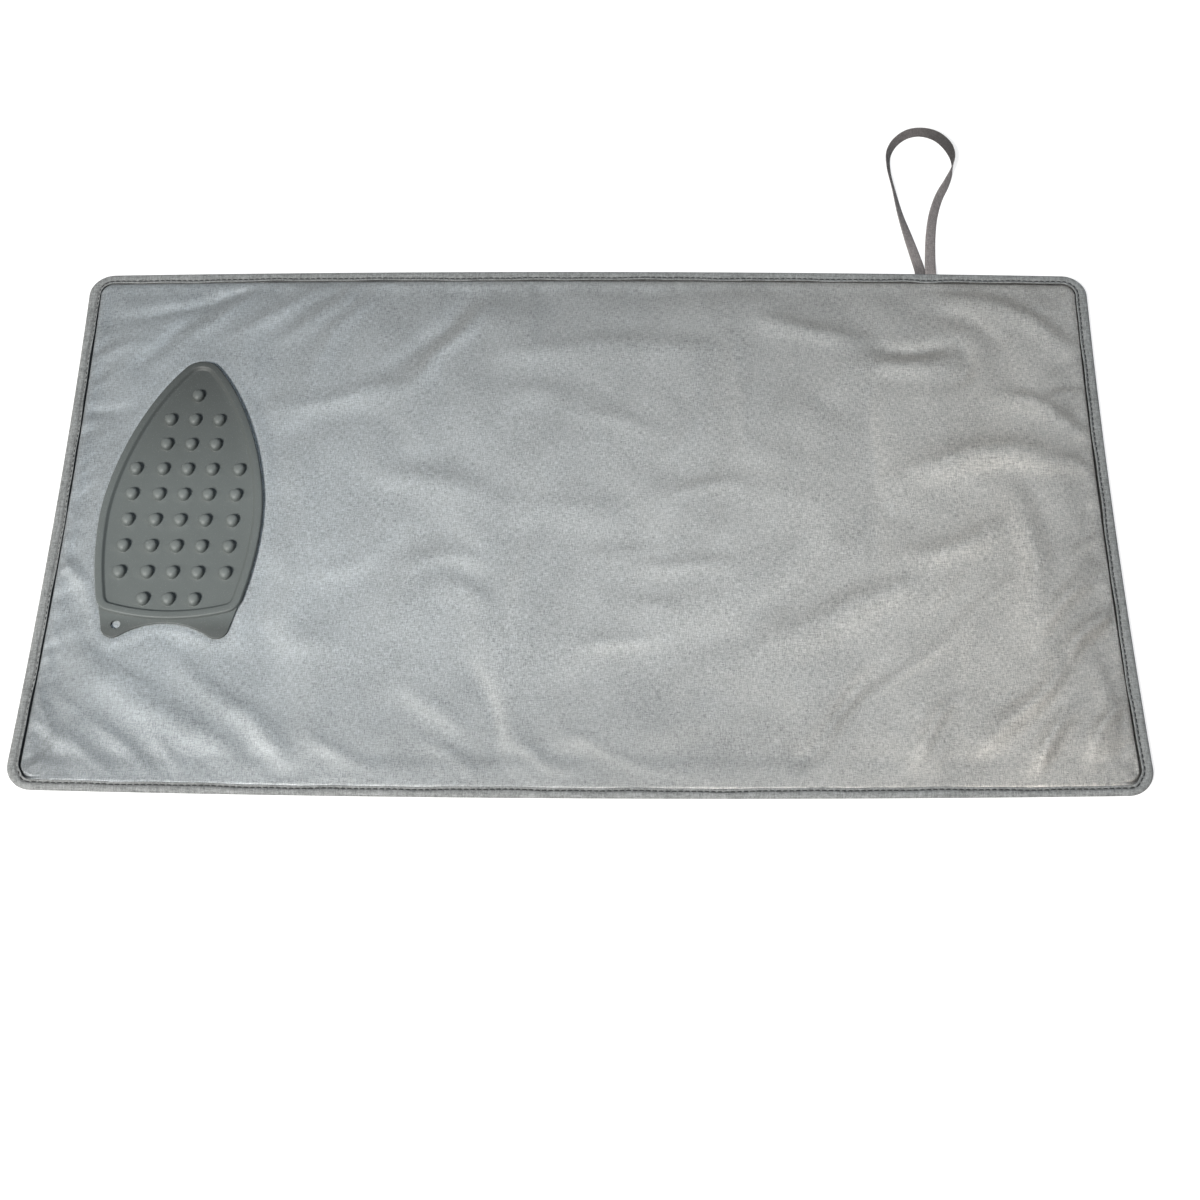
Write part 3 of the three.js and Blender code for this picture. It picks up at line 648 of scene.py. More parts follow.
def thread_finish():
    """Near-black thread, its dark colour deepened by painted shade of its needle holes: fibres as fine noise.
    """
    material, tree, shader = finish_of("thread_and_hole_shade")
    fibres = tree.noise(object_space(tree), 2600.0, detail=2.0)
    tree.feed(shader, {
        "Base Color": tree.blend(fibres, srgb(12, 13, 14), srgb(40, 42, 43)),
        "Roughness": tree.spread(fibres, 0.3, 0.7, 0.55, 0.75),
        "Normal": tree.bump(fibres, 0.4, 0.0001),
    })
    return material


def silicone_finish():
    """Matt silicone: slow clouding, painted shade darkening it towards the tip, darker on the tail, a painted
    highlight paler on the nubs' tops, with specks of lint and a fine grain."""
    material, tree, shader = finish_of("matt_silicone")
    place = object_space(tree)
    cloud = tree.noise(place, 26.0, detail=4.0, roughness=0.6)
    specks = tree.spread(tree.noise(place, 1500.0, detail=1.0), 0.66, 0.78)
    _, y, z = tree.parts(place)
    # painted shade: darker towards the tip
    tip_shade = tree.spread(y, 0.015, 0.155)
    # darker on the tail
    tail_darkening = tree.spread(y, -0.1, -0.112, 0.0, 0.64)
    darkened_share = tree.math("MAXIMUM", tip_shade, tail_darkening)
    pale = tree.blend(darkened_share, srgb(90, 95, 94), srgb(58, 61, 60))
    deep = tree.blend(darkened_share, srgb(83, 88, 87), srgb(53, 56, 55))
    tone = tree.blend(cloud, deep, pale)
    # painted highlight: paler on the nubs' tops
    top_highlight = tree.spread(z, 0.0125, 0.0165, 0.0, 0.2)
    tone = tree.blend(top_highlight, tone, srgb(134, 139, 137))
    lint = tree.math("MULTIPLY", specks, 0.35)
    grain = tree.noise(place, 2200.0, detail=3.0, roughness=0.6)
    tree.feed(shader, {
        "Base Color": tree.blend(lint, tone, srgb(165, 168, 167)),
        "Roughness": tree.spread(grain, 0.3, 0.7, 0.52, 0.66),
        "Normal": tree.bump(grain, 0.25, 0.0001),
    })
    return material


thread = thread_finish()
silicone = silicone_finish()


# Outline of the rest


def bezier(handles, steps):
    """Points along a Bezier curve: its handles blended in pairs until one is left."""
    t = np.linspace(0, 1, steps + 1)[:, None, None]
    level = np.repeat(np.array(handles, float)[None], steps + 1, axis=0)
    while level.shape[1] > 1:
        level = level[:, :-1] * (1 - t) + level[:, 1:] * t
    return level[:, 0]


def arc(middle, radius, start, end, steps):
    """Points along a circle, from one angle in degrees to another."""
    angle = np.radians(np.linspace(start, end, steps + 1))
    return np.column_stack([middle[0] + radius * np.cos(angle), middle[1] + radius * np.sin(angle)])


def rest_side(inset, steps=14):
    """Right half of the rest's outline drawn in by inset, from the rear to the tip: a shallow arc, a round
    corner, two curves that meet at the widest place, and the tip's arc."""
    lean = math.radians(REST_REAR_LEAN)
    rear = math.radians(REST_REAR_ARC)
    tip_turn = math.radians(90 - REST_TIP_ARC)
    tip_middle = REST_LENGTH - REST_TIP_RADIUS
    side_way = np.array([math.sin(lean), math.cos(lean)])
    rear_way = np.array([math.cos(rear), math.sin(rear)])
    tip_out = np.array([math.cos(tip_turn), math.sin(tip_turn)])
    side_out = np.array([side_way[1], -side_way[0]])
    side_start = np.array([REST_REAR_WIDTH / 2, REST_REAR_RISE]) - inset * side_out
    widest = np.array([REST_WIDTH / 2 - inset, REST_WIDEST])
    shoulder = np.array([0, tip_middle]) + (REST_TIP_RADIUS - inset) * tip_out
    reach = REST_REAR_RADIUS - inset
    rear_end = np.array([reach * rear_way[1], REST_REAR_RADIUS - reach * rear_way[0]])
    gap = side_start - rear_end
    step = (gap[0] * side_way[1] - gap[1] * side_way[0]) / math.cos(rear + lean)
    low = REST_WIDEST - REST_REAR_RISE
    high = shoulder[1] - REST_WIDEST
    up = np.array([0, 1])
    back = np.array([tip_out[1], -tip_out[0]])
    lengths = [
        arc((0, REST_REAR_RADIUS), reach, -90, REST_REAR_ARC - 90, steps),
        bezier([rear_end, rear_end + step * rear_way, side_start], steps),
        bezier([side_start, side_start + SIDE_HANDLES["rear"] * low * side_way,
                widest - SIDE_HANDLES["below_widest"] * low * up, widest], steps),
        bezier([widest, widest + SIDE_HANDLES["above_widest"] * high * up,
                shoulder + SIDE_HANDLES["shoulder"] * high * back, shoulder], 2 * steps),
        arc((0, tip_middle), REST_TIP_RADIUS - inset, 90 - REST_TIP_ARC, 90, steps),
    ]
    return np.vstack([length[:-1] for length in lengths[:-1]] + [lengths[-1]])


def closed_ring(side):
    """Outline from its right half: the half, then its mirror image back to the start, without the points on
    the middle line."""
    mirror = side[::-1] * np.array([-1, 1])
    return np.vstack([side, mirror[abs(mirror[:, 0]) > 1e-6]])


def on_rest(points):
    """Points of the rest in the frame of the pad."""
    turn = math.radians(REST_TURN)
    x, y, z = np.moveaxis(np.asarray(points, float), -1, 0)
    return np.stack([
        REST_PLACE[0] + x * math.cos(turn) - y * math.sin(turn),
        REST_PLACE[1] + x * math.sin(turn) + y * math.cos(turn),
        REST_PLACE[2] + z,
    ], axis=-1)


def tail_side(inset, steps=12):
    """Right half of the tail's outline drawn in by inset: a straight side, a round lobe and half of the
    hollow arc between the lobes."""
    lobe_x = LOBE_SPACING / 2
    lobe_y = LOBE_RADIUS - TAIL_REACH
    rise = lobe_y + TAIL_NOTCH
    hollow = (lobe_x**2 + rise**2 - LOBE_RADIUS**2) / (2 * (LOBE_RADIUS - rise))
    hollow_y = -TAIL_NOTCH - hollow
    meet = math.degrees(math.atan2(lobe_y - hollow_y, lobe_x))
    root_x = TAIL_ROOT_WIDTH / 2
    reach = math.hypot(root_x - lobe_x, TAIL_ROOT - lobe_y)
    outer = math.degrees(math.atan2(TAIL_ROOT - lobe_y, root_x - lobe_x) - math.acos(LOBE_RADIUS / reach))
    return np.vstack([
        [[root_x - inset, TAIL_ROOT]],
        arc((lobe_x, lobe_y), LOBE_RADIUS - inset, outer, meet - 180, steps)[:-1],
        arc((0, hollow_y), hollow + inset, meet, 90, steps),
    ])


# Cloths and wadding


def grid_lines(half, step):
    """Places of the lines across one side of a cloth: close together beside the binding, even between."""
    border = np.array(EDGE_LINES) - half
    field = border[-1] + step / 2
    even = np.linspace(field, -field, round(-2 * field / step) + 1)
    return np.concatenate([border, even, -border[::-1]])


def pad_grid(step):
    """Plan of a cloth: a grid whose lines bend to arcs in the rounded corners, with each point's distance in
    from the pad's edge."""
    x, y = np.meshgrid(grid_lines(HALF_LENGTH, step), grid_lines(HALF_WIDTH, step))
    from_short = HALF_LENGTH - abs(x)
    from_long = HALF_WIDTH - abs(y)
    inset = np.minimum(from_short, from_long)
    farther = np.maximum(from_short, from_long)
    bent = farther < CORNER_RADIUS
    radius = np.where(bent, CORNER_RADIUS - inset, 1.0)
    share = (CORNER_RADIUS - farther) / radius / 2
    angle = math.pi / 2 * np.where(from_short < from_long, share, 1 - share)
    bent_x = HALF_LENGTH - CORNER_RADIUS + radius * np.cos(angle)
    bent_y = HALF_WIDTH - CORNER_RADIUS + radius * np.sin(angle)
    x = np.copysign(np.where(bent, bent_x, abs(x)), x)
    y = np.copysign(np.where(bent, bent_y, abs(y)), y)
    return (inset, *settled(x, y))


def loft_share(inset):
    """Share of the full loft: none under the binding, then one less the square of what is left to rise."""
    left = 1 - np.clip((inset - BINDING_FLAP) / CROWN_RUN, 0, 1)
    return 1 - left**2


def from_line(x, y, line):
    """Distance of points from a line of short straight lengths, how far along it, from 0 to 1, and the share
    of that distance that lies to the left and the near side."""
    best = np.full(x.shape, np.inf)
    along = np.zeros(x.shape)
    lit = np.zeros(x.shape)
    for k, (start, end) in enumerate(zip(line[:-1], line[1:])):
        run = end - start
        t = np.clip(((x - start[0]) * run[0] + (y - start[1]) * run[1]) / (run @ run), 0, 1)
        aside = x - start[0] - t * run[0]
        ahead = y - start[1] - t * run[1]
        away = np.hypot(aside, ahead)
        nearer = away < best
        best = np.where(nearer, away, best)
        along = np.where(nearer, (k + t) / (len(line) - 1), along)
        lit = np.where(nearer, -(LIT_WAY[0] * aside + LIT_WAY[1] * ahead) / np.maximum(away, 1e-6), lit)
    return best, along, lit


def fold_heights(x, y):
    """Height of the folds: a bell across each line, rising and falling as the root of a half sine along it,
    on points that stray a little so that no fold is ruled."""
    stray_x = x + FOLD_WANDER * drift(x, y, FOLD_WANDER_SIZE, 21)
    stray_y = y + FOLD_WANDER * drift(x, y, FOLD_WANDER_SIZE, 22)
    height = np.zeros_like(x)
    for size, spread, *points in FOLDS:
        line = through(points, FOLD_STEPS)
        low = line.min(0) - FOLD_REACH * spread
        high = line.max(0) + FOLD_REACH * spread
        near = (stray_x > low[0]) & (stray_x < high[0]) & (stray_y > low[1]) & (stray_y < high[1])
        away, along, lit = from_line(stray_x[near], stray_y[near], line)
        reach = FOLD_SPREAD * spread * (1 + FOLD_LEAN * lit)
        fade = np.sqrt(np.sin(math.pi * np.clip(along, FOLD_ENDS, 1 - FOLD_ENDS)))
        height[near] += size * bell(away, reach) * fade
    return height


def pucker_heights(x, y, inset):
    """Small gathers square to the seam: drift along the edge that dies away with the distance from it."""
    from_short = HALF_LENGTH - abs(x)
    from_long = HALF_WIDTH - abs(y)
    on_short = from_short < from_long
    side = np.where(x < 0, PUCKERS["left"], PUCKERS["right"])
    end = np.where(y < 0, PUCKERS["near"], PUCKERS["far"])
    depth = np.maximum(inset - BINDING_FLAP, 0)
    run = np.where(on_short, y + PUCKER_SLANT * depth * np.sign(x), x + PUCKER_SLANT * depth * np.sign(-y))
    inward = depth * PUCKER_DRAW
    gathers = drift(run, inward, PUCKER_SIZE, 31) + 0.5 * drift(run, inward, PUCKER_SIZE / 2, 32)
    return np.where(on_short, side, end) * gathers * np.exp(-depth / PUCKER_RUN)


def beside_rest(x, y):
    """Distance of points from the edge of the rest and its tail, nought under them."""
    low = REST_PLACE[1] - REST_SURROUND
    high = REST_PLACE[1] + REST_LENGTH + REST_SURROUND
    near = (abs(x - REST_PLACE[0]) < REST_WIDTH) & (y > low) & (y < high)
    away = np.full(x.shape, np.inf)
    px, py = x[near], y[near]
    least = np.full(px.shape, np.inf)
    for side in (rest_side(0, 5), tail_side(0, 5)):
        ring = on_rest(raised(closed_ring(side), 0))[:, :2]
        closed = np.vstack([ring, ring[:1]])
        distance = from_line(px, py, closed)[0]
        start, end = closed[:-1], closed[1:]
        crosses = (start[:, 1, None] > py) != (end[:, 1, None] > py)
        rise = np.where(end[:, 1] == start[:, 1], 1.0, end[:, 1] - start[:, 1])[:, None]
        at = start[:, 0, None] + (py - start[:, 1, None]) / rise * (end[:, 0] - start[:, 0])[:, None]
        inside = (crosses & (px < at)).sum(0) % 2 == 1
        least = np.minimum(least, np.where(inside, 0, distance))
    away[near] = least
    return away


def seam_slot(inset):
    """Share of the narrow slot between the binding's lip and the cloth: a bell across its middle."""
    return bell(inset - BINDING_FLAP - SLOT_WIDTH / 2, SLOT_WIDTH)


def slot_shade(inset):
    """Share of the cloth's colour lost to painted shade in the slot: all of it under the lip, then the slot's
    own bell.
    """
    return np.where(inset < BINDING_FLAP + SLOT_WIDTH / 2, 1.0, seam_slot(inset))


def near_edge(x, y):
    """Share of the near edge, where the cloth lies tight against the binding's lip: 1 along it, else 0."""
    between = smooth((HALF_LENGTH - NEAR_ENDS - abs(x)) / NEAR_ENDS_RUN)
    return between * smooth((NEAR_BAND - HALF_WIDTH - y) / NEAR_BAND_RUN)


def face_heights(inset, x, y, slack=0.0, share=1.0):
    """Top of the face cloth: the crown of the pad, a share of its waves and slack, its folds and gathers,
    flat under the rest and drawn up a little round it."""
    near = near_edge(x, y)
    depth = inset - BINDING_FLAP + NEAR_SEAM_SHIFT * near
    tight = NEAR_TIGHT * near * smooth((depth + TIGHT_START) / TIGHT_RUN)
    crown = FACE_PRESSED + tight + (FACE_TOP - tight - FACE_PRESSED) * loft_share(depth + BINDING_FLAP)
    swell = SWELL * bell(depth - SWELL_PLACE, SWELL_WIDTH) * (depth > 0)
    swell = swell * smooth((y + HALF_WIDTH - SWELL_NEAR_GAP) / SWELL_NEAR_RUN)
    slot = SLOT_DEPTH * seam_slot(inset) * (1 - near)
    waves = sum(height * drift(x, y, size, seed) for height, size, seed in WAVES)
    beside = beside_rest(x, y)
    free = smooth((beside - FREE_GAP) / FREE_RUN)
    nestled = REST_NESTLE * smooth(beside / NESTLE_RUN) * bell(np.minimum(beside, FAR_AWAY), NESTLE_WIDTH)
    held_run = HELD_RUN + HELD_NEAR_RUN * smooth((HELD_NEAR_BAND - HALF_WIDTH - y) / HELD_NEAR_FADE)
    held = smooth((inset - BINDING_FLAP) / held_run)
    gathers = pucker_heights(x, y, inset) * smooth((inset - BINDING_FLAP) / PUCKER_START)
    relief = share * (waves + slack) + FOLD_DEPTH * fold_heights(x, y)
    return crown + swell - slot + nestled + free * (held * relief + gathers)


def slack_heights():
    """Height that the face cloth gains or loses at each point of its own grid because it is a little too
    large for its frame: a cloth simulation of the sheet, held at the binding and under the rest and pressed
    up from below, as far as its folds have formed."""
    inset, x, y = pad_grid(SIM_STEP)
    start = face_heights(inset, x, y)
    sheet = make_piece("slack_cloth", np.stack([x, y, start], -1), grid_faces(*x.shape))
    edge = 1 - smooth((inset - BINDING_FLAP - SIM_HELD) / SIM_EDGE_RUN)
    under_rest = 1 - smooth((beside_rest(x, y) - SIM_HELD) / SIM_REST_RUN)
    shares = np.round(np.maximum(edge, under_rest).ravel(), 1)
    pins = sheet.vertex_groups.new(name="held")
    for share in np.unique(shares):
        pins.add(np.flatnonzero(shares == share).tolist(), float(share), "REPLACE")
    cloth = sheet.modifiers.new("cloth", "CLOTH")
    cloth.collision_settings.use_collision = False
    cloth.settings.vertex_group_mass = pins.name
    for name, value in SIM_RULES.items():
        setattr(cloth.settings, name, value)
    cloth.settings.effector_weights.gravity = 0
    scene = bpy.context.scene
    for step in range(1, SIM_FRAMES + 1):
        scene.frame_set(step)
    seen = sheet.evaluated_get(bpy.context.evaluated_depsgraph_get())
    places = np.empty(start.size * 3, np.float32)
    seen.data.vertices.foreach_get("co", places)
    bpy.data.objects.remove(sheet)
    scene.frame_set(1)
    lift = places.reshape(*start.shape, 3)[..., 2] * METRE - start
    return np.clip(lift, -SIM_CAP, SIM_CAP)


def carried(values, step, reach):
    """Values of the simulated cloth's grid on a grid of another step: means weighted by bells of a reach."""
    weights = []
    for half in (HALF_WIDTH, HALF_LENGTH):
        apart = grid_lines(half, step)[:, None] - grid_lines(half, SIM_STEP)[None, :]
        bells = bell(apart, reach)
        weights.append(bells / bells.sum(1, keepdims=True))
    return weights[0] @ values @ weights[1].T


def settled_face(step, lift):
    """Top of the face cloth as it lies, on a grid of a given step, with the grid's inset and plan."""
    inset, x, y = pad_grid(step)
    slack = carried(lift, step, SIM_SMOOTH) - SIM_BROAD_SHARE * carried(lift, step, SIM_BROAD)
    return inset, x, y, face_heights(inset, x, y, slack, SLACK_SHARE)


def shell_faces(rows, columns):
    """Faces of a closed sheet: the upper grid, the lower one turned over, and the strip round their edges."""
    upper = grid_faces(rows, columns)
    count = rows * columns
    lower = upper[:, ::-1] + count
    index = np.arange(count).reshape(rows, columns)
    rim = np.concatenate([index[0, :-1], index[:-1, -1], index[-1, :0:-1], index[:0:-1, 0]])
    after = np.roll(rim, -1)
    strip = np.stack([rim, rim + count, after + count, after], axis=1)
    return np.vstack([upper, lower, strip])


def sheet_between(name, x, y, top, bottom, material):
    """Closed sheet between two surfaces given as heights over the same plan."""
    points = np.stack([np.stack([x, y, height], -1) for height in (top, bottom)])
    return make_piece(name, points, shell_faces(*x.shape), material)


def make_cloths():
    """Face cloth with its slack, back cloth with a slight ripple, and the wadding between them."""
    lift = slack_heights()
    inset, x, y, top = settled_face(CLOTH_STEP, lift)
    face = sheet_between("face_cover", x, y, top, top - CLOTH, silver)
    # painted shade in the slot and under the binding's lip, none along the near edge
    give_shade(face, np.tile((slot_shade(inset) * (1 - near_edge(x, y))).ravel(), 2))
    inset, x, y, padding = settled_face(2 * CLOTH_STEP, lift)
    padding = np.minimum(padding, FACE_PRESSED + (FACE_TOP - FACE_PRESSED) * loft_share(inset))
    ripple = BACK_RIPPLE * (1 + drift(x, y, BACK_RIPPLE_SIZE, 41))
    ripple = ripple * smooth((inset - BINDING_FLAP) / BACK_RIPPLE_RUN)
    under = BACK_PRESSED * (1 - loft_share(inset)) + ripple
    back = sheet_between("back_cover", x, y, under + CLOTH, under, backing)
    filling = sheet_between(
        "felt_filling", x, y, padding - CLOTH - WADDING_SINK, under + CLOTH + BACK_GAP, felt)
    return face, back, filling


face_cover, back_cover, felt_filling = make_cloths()


# Binding and stitches


def edge_stations(run):
    """Places round the pad by the length run along the seam: the corner's middle or a point on the straight
    core beside it, and the direction out of the pad. Along a straight side the core point moves, and round
    a corner the direction turns."""
    core_x = HALF_LENGTH - CORNER_RADIUS
    core_y = HALF_WIDTH - CORNER_RADIUS
    quarter = math.pi / 2 * (CORNER_RADIUS - SEAM_INSET)
    lengths = [2 * core_x, quarter, 2 * core_y, quarter] * 2
    knots = np.concatenate([[0], np.cumsum(lengths)])
    x = np.interp(run, knots, np.array([-1, 1, 1, 1, 1, -1, -1, -1, -1]) * core_x)
    y = np.interp(run, knots, np.array([-1, -1, -1, 1, 1, 1, 1, -1, -1]) * core_y)
    angle = np.radians(np.interp(run, knots, [-90, -90, 0, 0, 90, 90, 180, 180, 270]))
    return x, y, np.cos(angle), np.sin(angle)


SEAM_LENGTH = 4 * (HALF_LENGTH + HALF_WIDTH - 2 * CORNER_RADIUS) + 2 * math.pi * (CORNER_RADIUS - SEAM_INSET)
STITCHES = round(SEAM_LENGTH / STITCH_PITCH)


def seam_sway(run):
    """How far the seam and the binding's inner edge stray in from their lines, and how far the tape of the
    loop lifts the binding where its ends lie in it."""
    x, _, _, out_y = edge_stations(run)
    turn = run / SEAM_LENGTH * 2 * math.pi
    sway = sum(size * np.sin(waves * turn + phase) for size, waves, phase in SWAYS)
    over_tape = bell(x - LOOP_X, TAPE_BULGE) * (out_y > FAR_FACING)
    near = NEAR_SEAM_SHIFT * smooth((-out_y - NEAR_FACING) / (1 - NEAR_FACING))
    return sway + TAPE_PUSH * over_tape - near, TAPE_LIFT * over_tape


def edge_point(run, inset, height):
    """Point at a distance in from the pad's edge and a height, beside a place along the seam."""
    x, y, out_x, out_y = edge_stations(run)
    reach = CORNER_RADIUS - inset
    flat_x, flat_y = settled(x + out_x * reach, y + out_y * reach)
    return np.stack(np.broadcast_arrays(flat_x, flat_y, height), axis=-1)


def binding_section():
    """Folded tape in section as distance in from the edge and height: over the top from its inner lip, round
    the fold, under the pad, and back inside."""
    lip = arc((BINDING_FLAP - LIP_ROUND, BINDING_THICKNESS - LIP_ROUND), LIP_ROUND, -60, 90, 4)
    top = np.column_stack([[9.0, 8.6, 8.2, 7.7, 7.2, 6.6, 5.6, 4.4], np.full(8, BINDING_THICKNESS)])
    fold = arc((BINDING_ROUND, BINDING_ROUND), BINDING_ROUND, 90, 270, 9)
    under = np.column_stack([[5.0, 6.2, 7.0, 7.8, 8.8, BINDING_FLAP], np.zeros(6)])
    inner = arc((BINDING_ROUND, BINDING_ROUND), BINDING_ROUND - BINDING_CLOTH, 270, 90, 4)
    inside_low = [[BINDING_FLAP, BINDING_CLOTH]]
    inside_high = [[BINDING_FLAP - 0.6, BINDING_THICKNESS - BINDING_CLOTH]]
    return np.vstack([lip, top, fold, under, inside_low, inner, inside_high])


def make_binding():
    """Binding: its section carried round the edge, drawn down along the seam, most at the needle holes."""
    section = binding_section()
    run = np.arange(STITCHES * STATIONS_A_STITCH) / STATIONS_A_STITCH * SEAM_LENGTH / STITCHES
    sway, lift = seam_sway(run)
    inset = section[:, 0][None, :]
    height = section[:, 1][None, :]
    flap = smooth((inset - BINDING_ROUND) / (BINDING_FLAP - BINDING_ROUND))
    inset = inset + sway[:, None] * flap
    seam = bell(inset - SEAM_INSET - sway[:, None], SEAM_GROOVE_WIDTH)
    holes = 0.5 + 0.5 * np.cos(2 * math.pi * run * STITCHES / SEAM_LENGTH)
    drawn = SEAM_GROOVE * (GROOVE_BETWEEN + GROOVE_AT_HOLES * holes[:, None]) * seam
    upper = height > BINDING_THICKNESS - FLAP_BAND
    lower = height < FLAP_BAND
    plump = PLUMP * np.sin(run / PLUMP_WAVE + 2 * np.sin(run / PLUMP_DRIFT))[:, None] * (1 - seam)
    height = height + upper * (lift[:, None] - drawn + plump) + lower * GROOVE_UNDER * drawn
    points = edge_point(run[:, None], inset, np.maximum(height, 0))
    piece = make_piece("bound_edge", points, grid_faces(*height.shape, True, True)[:, ::-1], binding_cloth)
    # painted shade on the lip's inner end and beneath it, less on the near edge, and in the seam's groove
    lip = smooth((BINDING_THICKNESS - section[:, 1] - LIP_SHADE_START) / LIP_SHADE_RUN)
    lip = lip * (section[:, 0] > BINDING_FLAP - 1)
    lip = lip[None, :] * (1 - LIP_NEAR_LOSS * near_edge(points[..., 0], points[..., 1]))
    give_shade(piece, np.maximum(lip, SEAM_SHADE * seam).ravel())
    return piece


def make_stitches(name, on_top):
    """Row of stitches: each is a thin tube along the seam that bows up between its needle holes."""
    share = np.array([-1, -0.8, -0.35, 0.35, 0.8, 1])
    rise = np.array([-0.7, -0.15, 0.2, 0.2, -0.15, -0.7])
    girth = np.array([0.5, 0.9, 1, 1, 0.9, 0.5]) * THREAD_RADIUS
    sides = np.radians(np.arange(6) * 60)
    pitch = SEAM_LENGTH / STITCHES
    middle = (np.arange(STITCHES) + 0.5) * pitch
    run = (middle[:, None] + share[None] * STITCH_SHARE * pitch)[:, :, None]
    sway, lift = seam_sway(run)
    facing = 1 if on_top else -1
    groove = UNDER_SEAT * SEAM_GROOVE
    if on_top:
        groove = BINDING_THICKNESS - TOP_SEAT * SEAM_GROOVE + lift
    close = LEFT_SEAM_SHIFT * smooth(-0.5 - edge_stations(run)[2])
    inset = SEAM_INSET + close + sway + girth[None, :, None] * np.cos(sides)[None, None, :]
    height = groove + facing * (rise[None, :, None] + girth[None, :, None] * np.sin(sides)[None, None, :])
    points = edge_point(run, inset, height)
    tube = [face[::facing] for face in tube_faces(len(share), len(sides))]
    return make_piece(name, points, repeated(tube, STITCHES, len(share) * len(sides)), thread)


bound_edge = make_binding()
needle_stitches = make_stitches("needle_stitches", True)
bobbin_stitches = make_stitches("bobbin_stitches", False)


# Hanging loop


def loop_line(steps):
    """Middle line of the tape and its turn: the route, drawn into the binding at both ends, with each place
    as high as the tape's own section needs to stand on the table, and at the ends at the binding's middle."""
    tucked = [(LOOP_ROUTE[0][0], -TAPE_TUCK, 0), *LOOP_ROUTE, (LOOP_ROUTE[-1][0], -TAPE_TUCK, -180)]
    line = through(tucked, steps)
    turn = np.radians(line[:, 2])
    lying = FLOOR_CLEARANCE + TAPE_WIDTH / 2 * abs(np.sin(turn)) + TAPE_THICKNESS / 2 * abs(np.cos(turn))
    side = np.where(np.arange(len(line)) < len(line) / 2, -0.5, 0.5)
    ends = BINDING_ROUND + side * LOOP_END_STEP
    share = smooth(line[:, 1] / LOOP_SETTLE)
    edge = settled(np.array(LOOP_X), np.array(HALF_WIDTH))[1] + LOOP_CLEARANCE
    middle = np.column_stack([LOOP_X + line[:, 0], edge + line[:, 1], ends + (lying - ends) * share])
    return middle, turn


def make_loop():
    """Tape: a flat section with round selvedges carried along the middle line and turned about it."""
    middle, turn = loop_line(14)
    along = np.gradient(middle[:, :2], axis=0)
    along /= np.linalg.norm(along, axis=1)[:, None]
    inward = np.column_stack([along[:, 1], -along[:, 0], np.zeros(len(along))])
    up = np.array([0, 0, 1.0])
    cosine, sine = np.cos(turn)[:, None], np.sin(turn)[:, None]
    wide = inward * cosine + up * sine
    face = -inward * sine + up * cosine
    half = TAPE_WIDTH / 2
    thin = TAPE_THICKNESS / 2
    across = np.array([-1, -0.93, -0.5, 0, 0.5, 0.93, 1, 0.93, 0.5, 0, -0.5, -0.93]) * half
    deep = np.array([0, 1, 0.92, 0.92, 0.92, 1, 0, -1, -0.92, -0.92, -0.92, -1]) * thin
    points = middle[:, None] + wide[:, None] * across[None, :, None] + face[:, None] * deep[None, :, None]
    piece = make_piece("tape_loop", points, tube_faces(*points.shape[:2]), loop_tape, flat_over=TAPE_CREASE)
    outward = middle[:, 1] - HALF_WIDTH - LONG_EDGE_BOW
    aside = middle[:, 0] - LOOP_X
    # painted shade on one face of the tape: over the bow, most on its right, and at the left leg's foot
    bow = smooth((outward - BOW_SHADE_START) / BOW_SHADE_RUN) * (0.4 + 0.5 * smooth((aside + 22) / BOW_SHADE_RUN))
    foot = 0.5 * smooth((FOOT_SHADE_REACH - outward) / FOOT_SHADE_REACH) * (middle[:, 0] < LOOP_X)
    give_shade(piece, (np.maximum(bow, foot)[:, None] * (deep > 0)).ravel())
    run = np.concatenate([[0], np.cumsum(np.linalg.norm(np.diff(middle, axis=0), axis=1))])
    place = np.stack(np.broadcast_arrays(run[:, None], across[None] + half), -1).reshape(-1, 2) / METRE
    corner = np.empty(len(piece.data.loops), int)
    piece.data.loops.foreach_get("vertex_index", corner)
    layer = piece.data.uv_layers.new(name="tape")
    layer.data.foreach_set("uv", place[corner].ravel())
    return piece, middle


tape_loop, loop_middle = make_loop()


# Iron rest


def stacked(section, side):
    """Rings of an outline, drawn in and raised along a section."""
    return np.array([raised(closed_ring(side(inset)), height) for inset, height in section])


def filled(side_points, columns):
    """Flat grid across an outline, row by row from its left half to its right half."""
    share = np.linspace(-1, 1, columns + 1)[None, :]
    x = side_points[:, :1] * share
    y = np.repeat(side_points[:, 1:2], columns + 1, axis=1)
    return x, y


def rest_body():
    """Dished plate: outline rings stacked along the rim's section, closed by flat grids below and inside."""
    under = arc((REST_FOOT_ROUND, REST_FOOT_ROUND), REST_FOOT_ROUND, 270, 180, 3)
    outer = arc((RIM_ROUND, RIM_HEIGHT - RIM_ROUND), RIM_ROUND, 180, 90, 5)
    down = np.linspace(0, 1, 11)
    inner = np.column_stack([
        RIM_WIDTH + RIM_SLOPE * (down - 0.5),
        RIM_HEIGHT - (RIM_HEIGHT - REST_FLOOR) * smooth(down),
    ])
    section = np.vstack([under, outer, inner])
    rings = stacked(section, rest_side)
    points = [rings.reshape(-1, 3)]
    faces = [grid_faces(*rings.shape[:2], columns_close=True)]
    start = rings.shape[0] * rings.shape[1]
    for (inset, height), turned in ((section[0], True), (section[-1], False)):
        x, y = filled(rest_side(inset), 10)
        grid = grid_faces(*x.shape) + start
        points.append(np.stack([x, y, np.full(x.shape, height)], -1).reshape(-1, 3))
        faces.append(grid[:, ::-1] if turned else grid)
        start += x.size
    return np.vstack(points), np.vstack(faces).tolist()


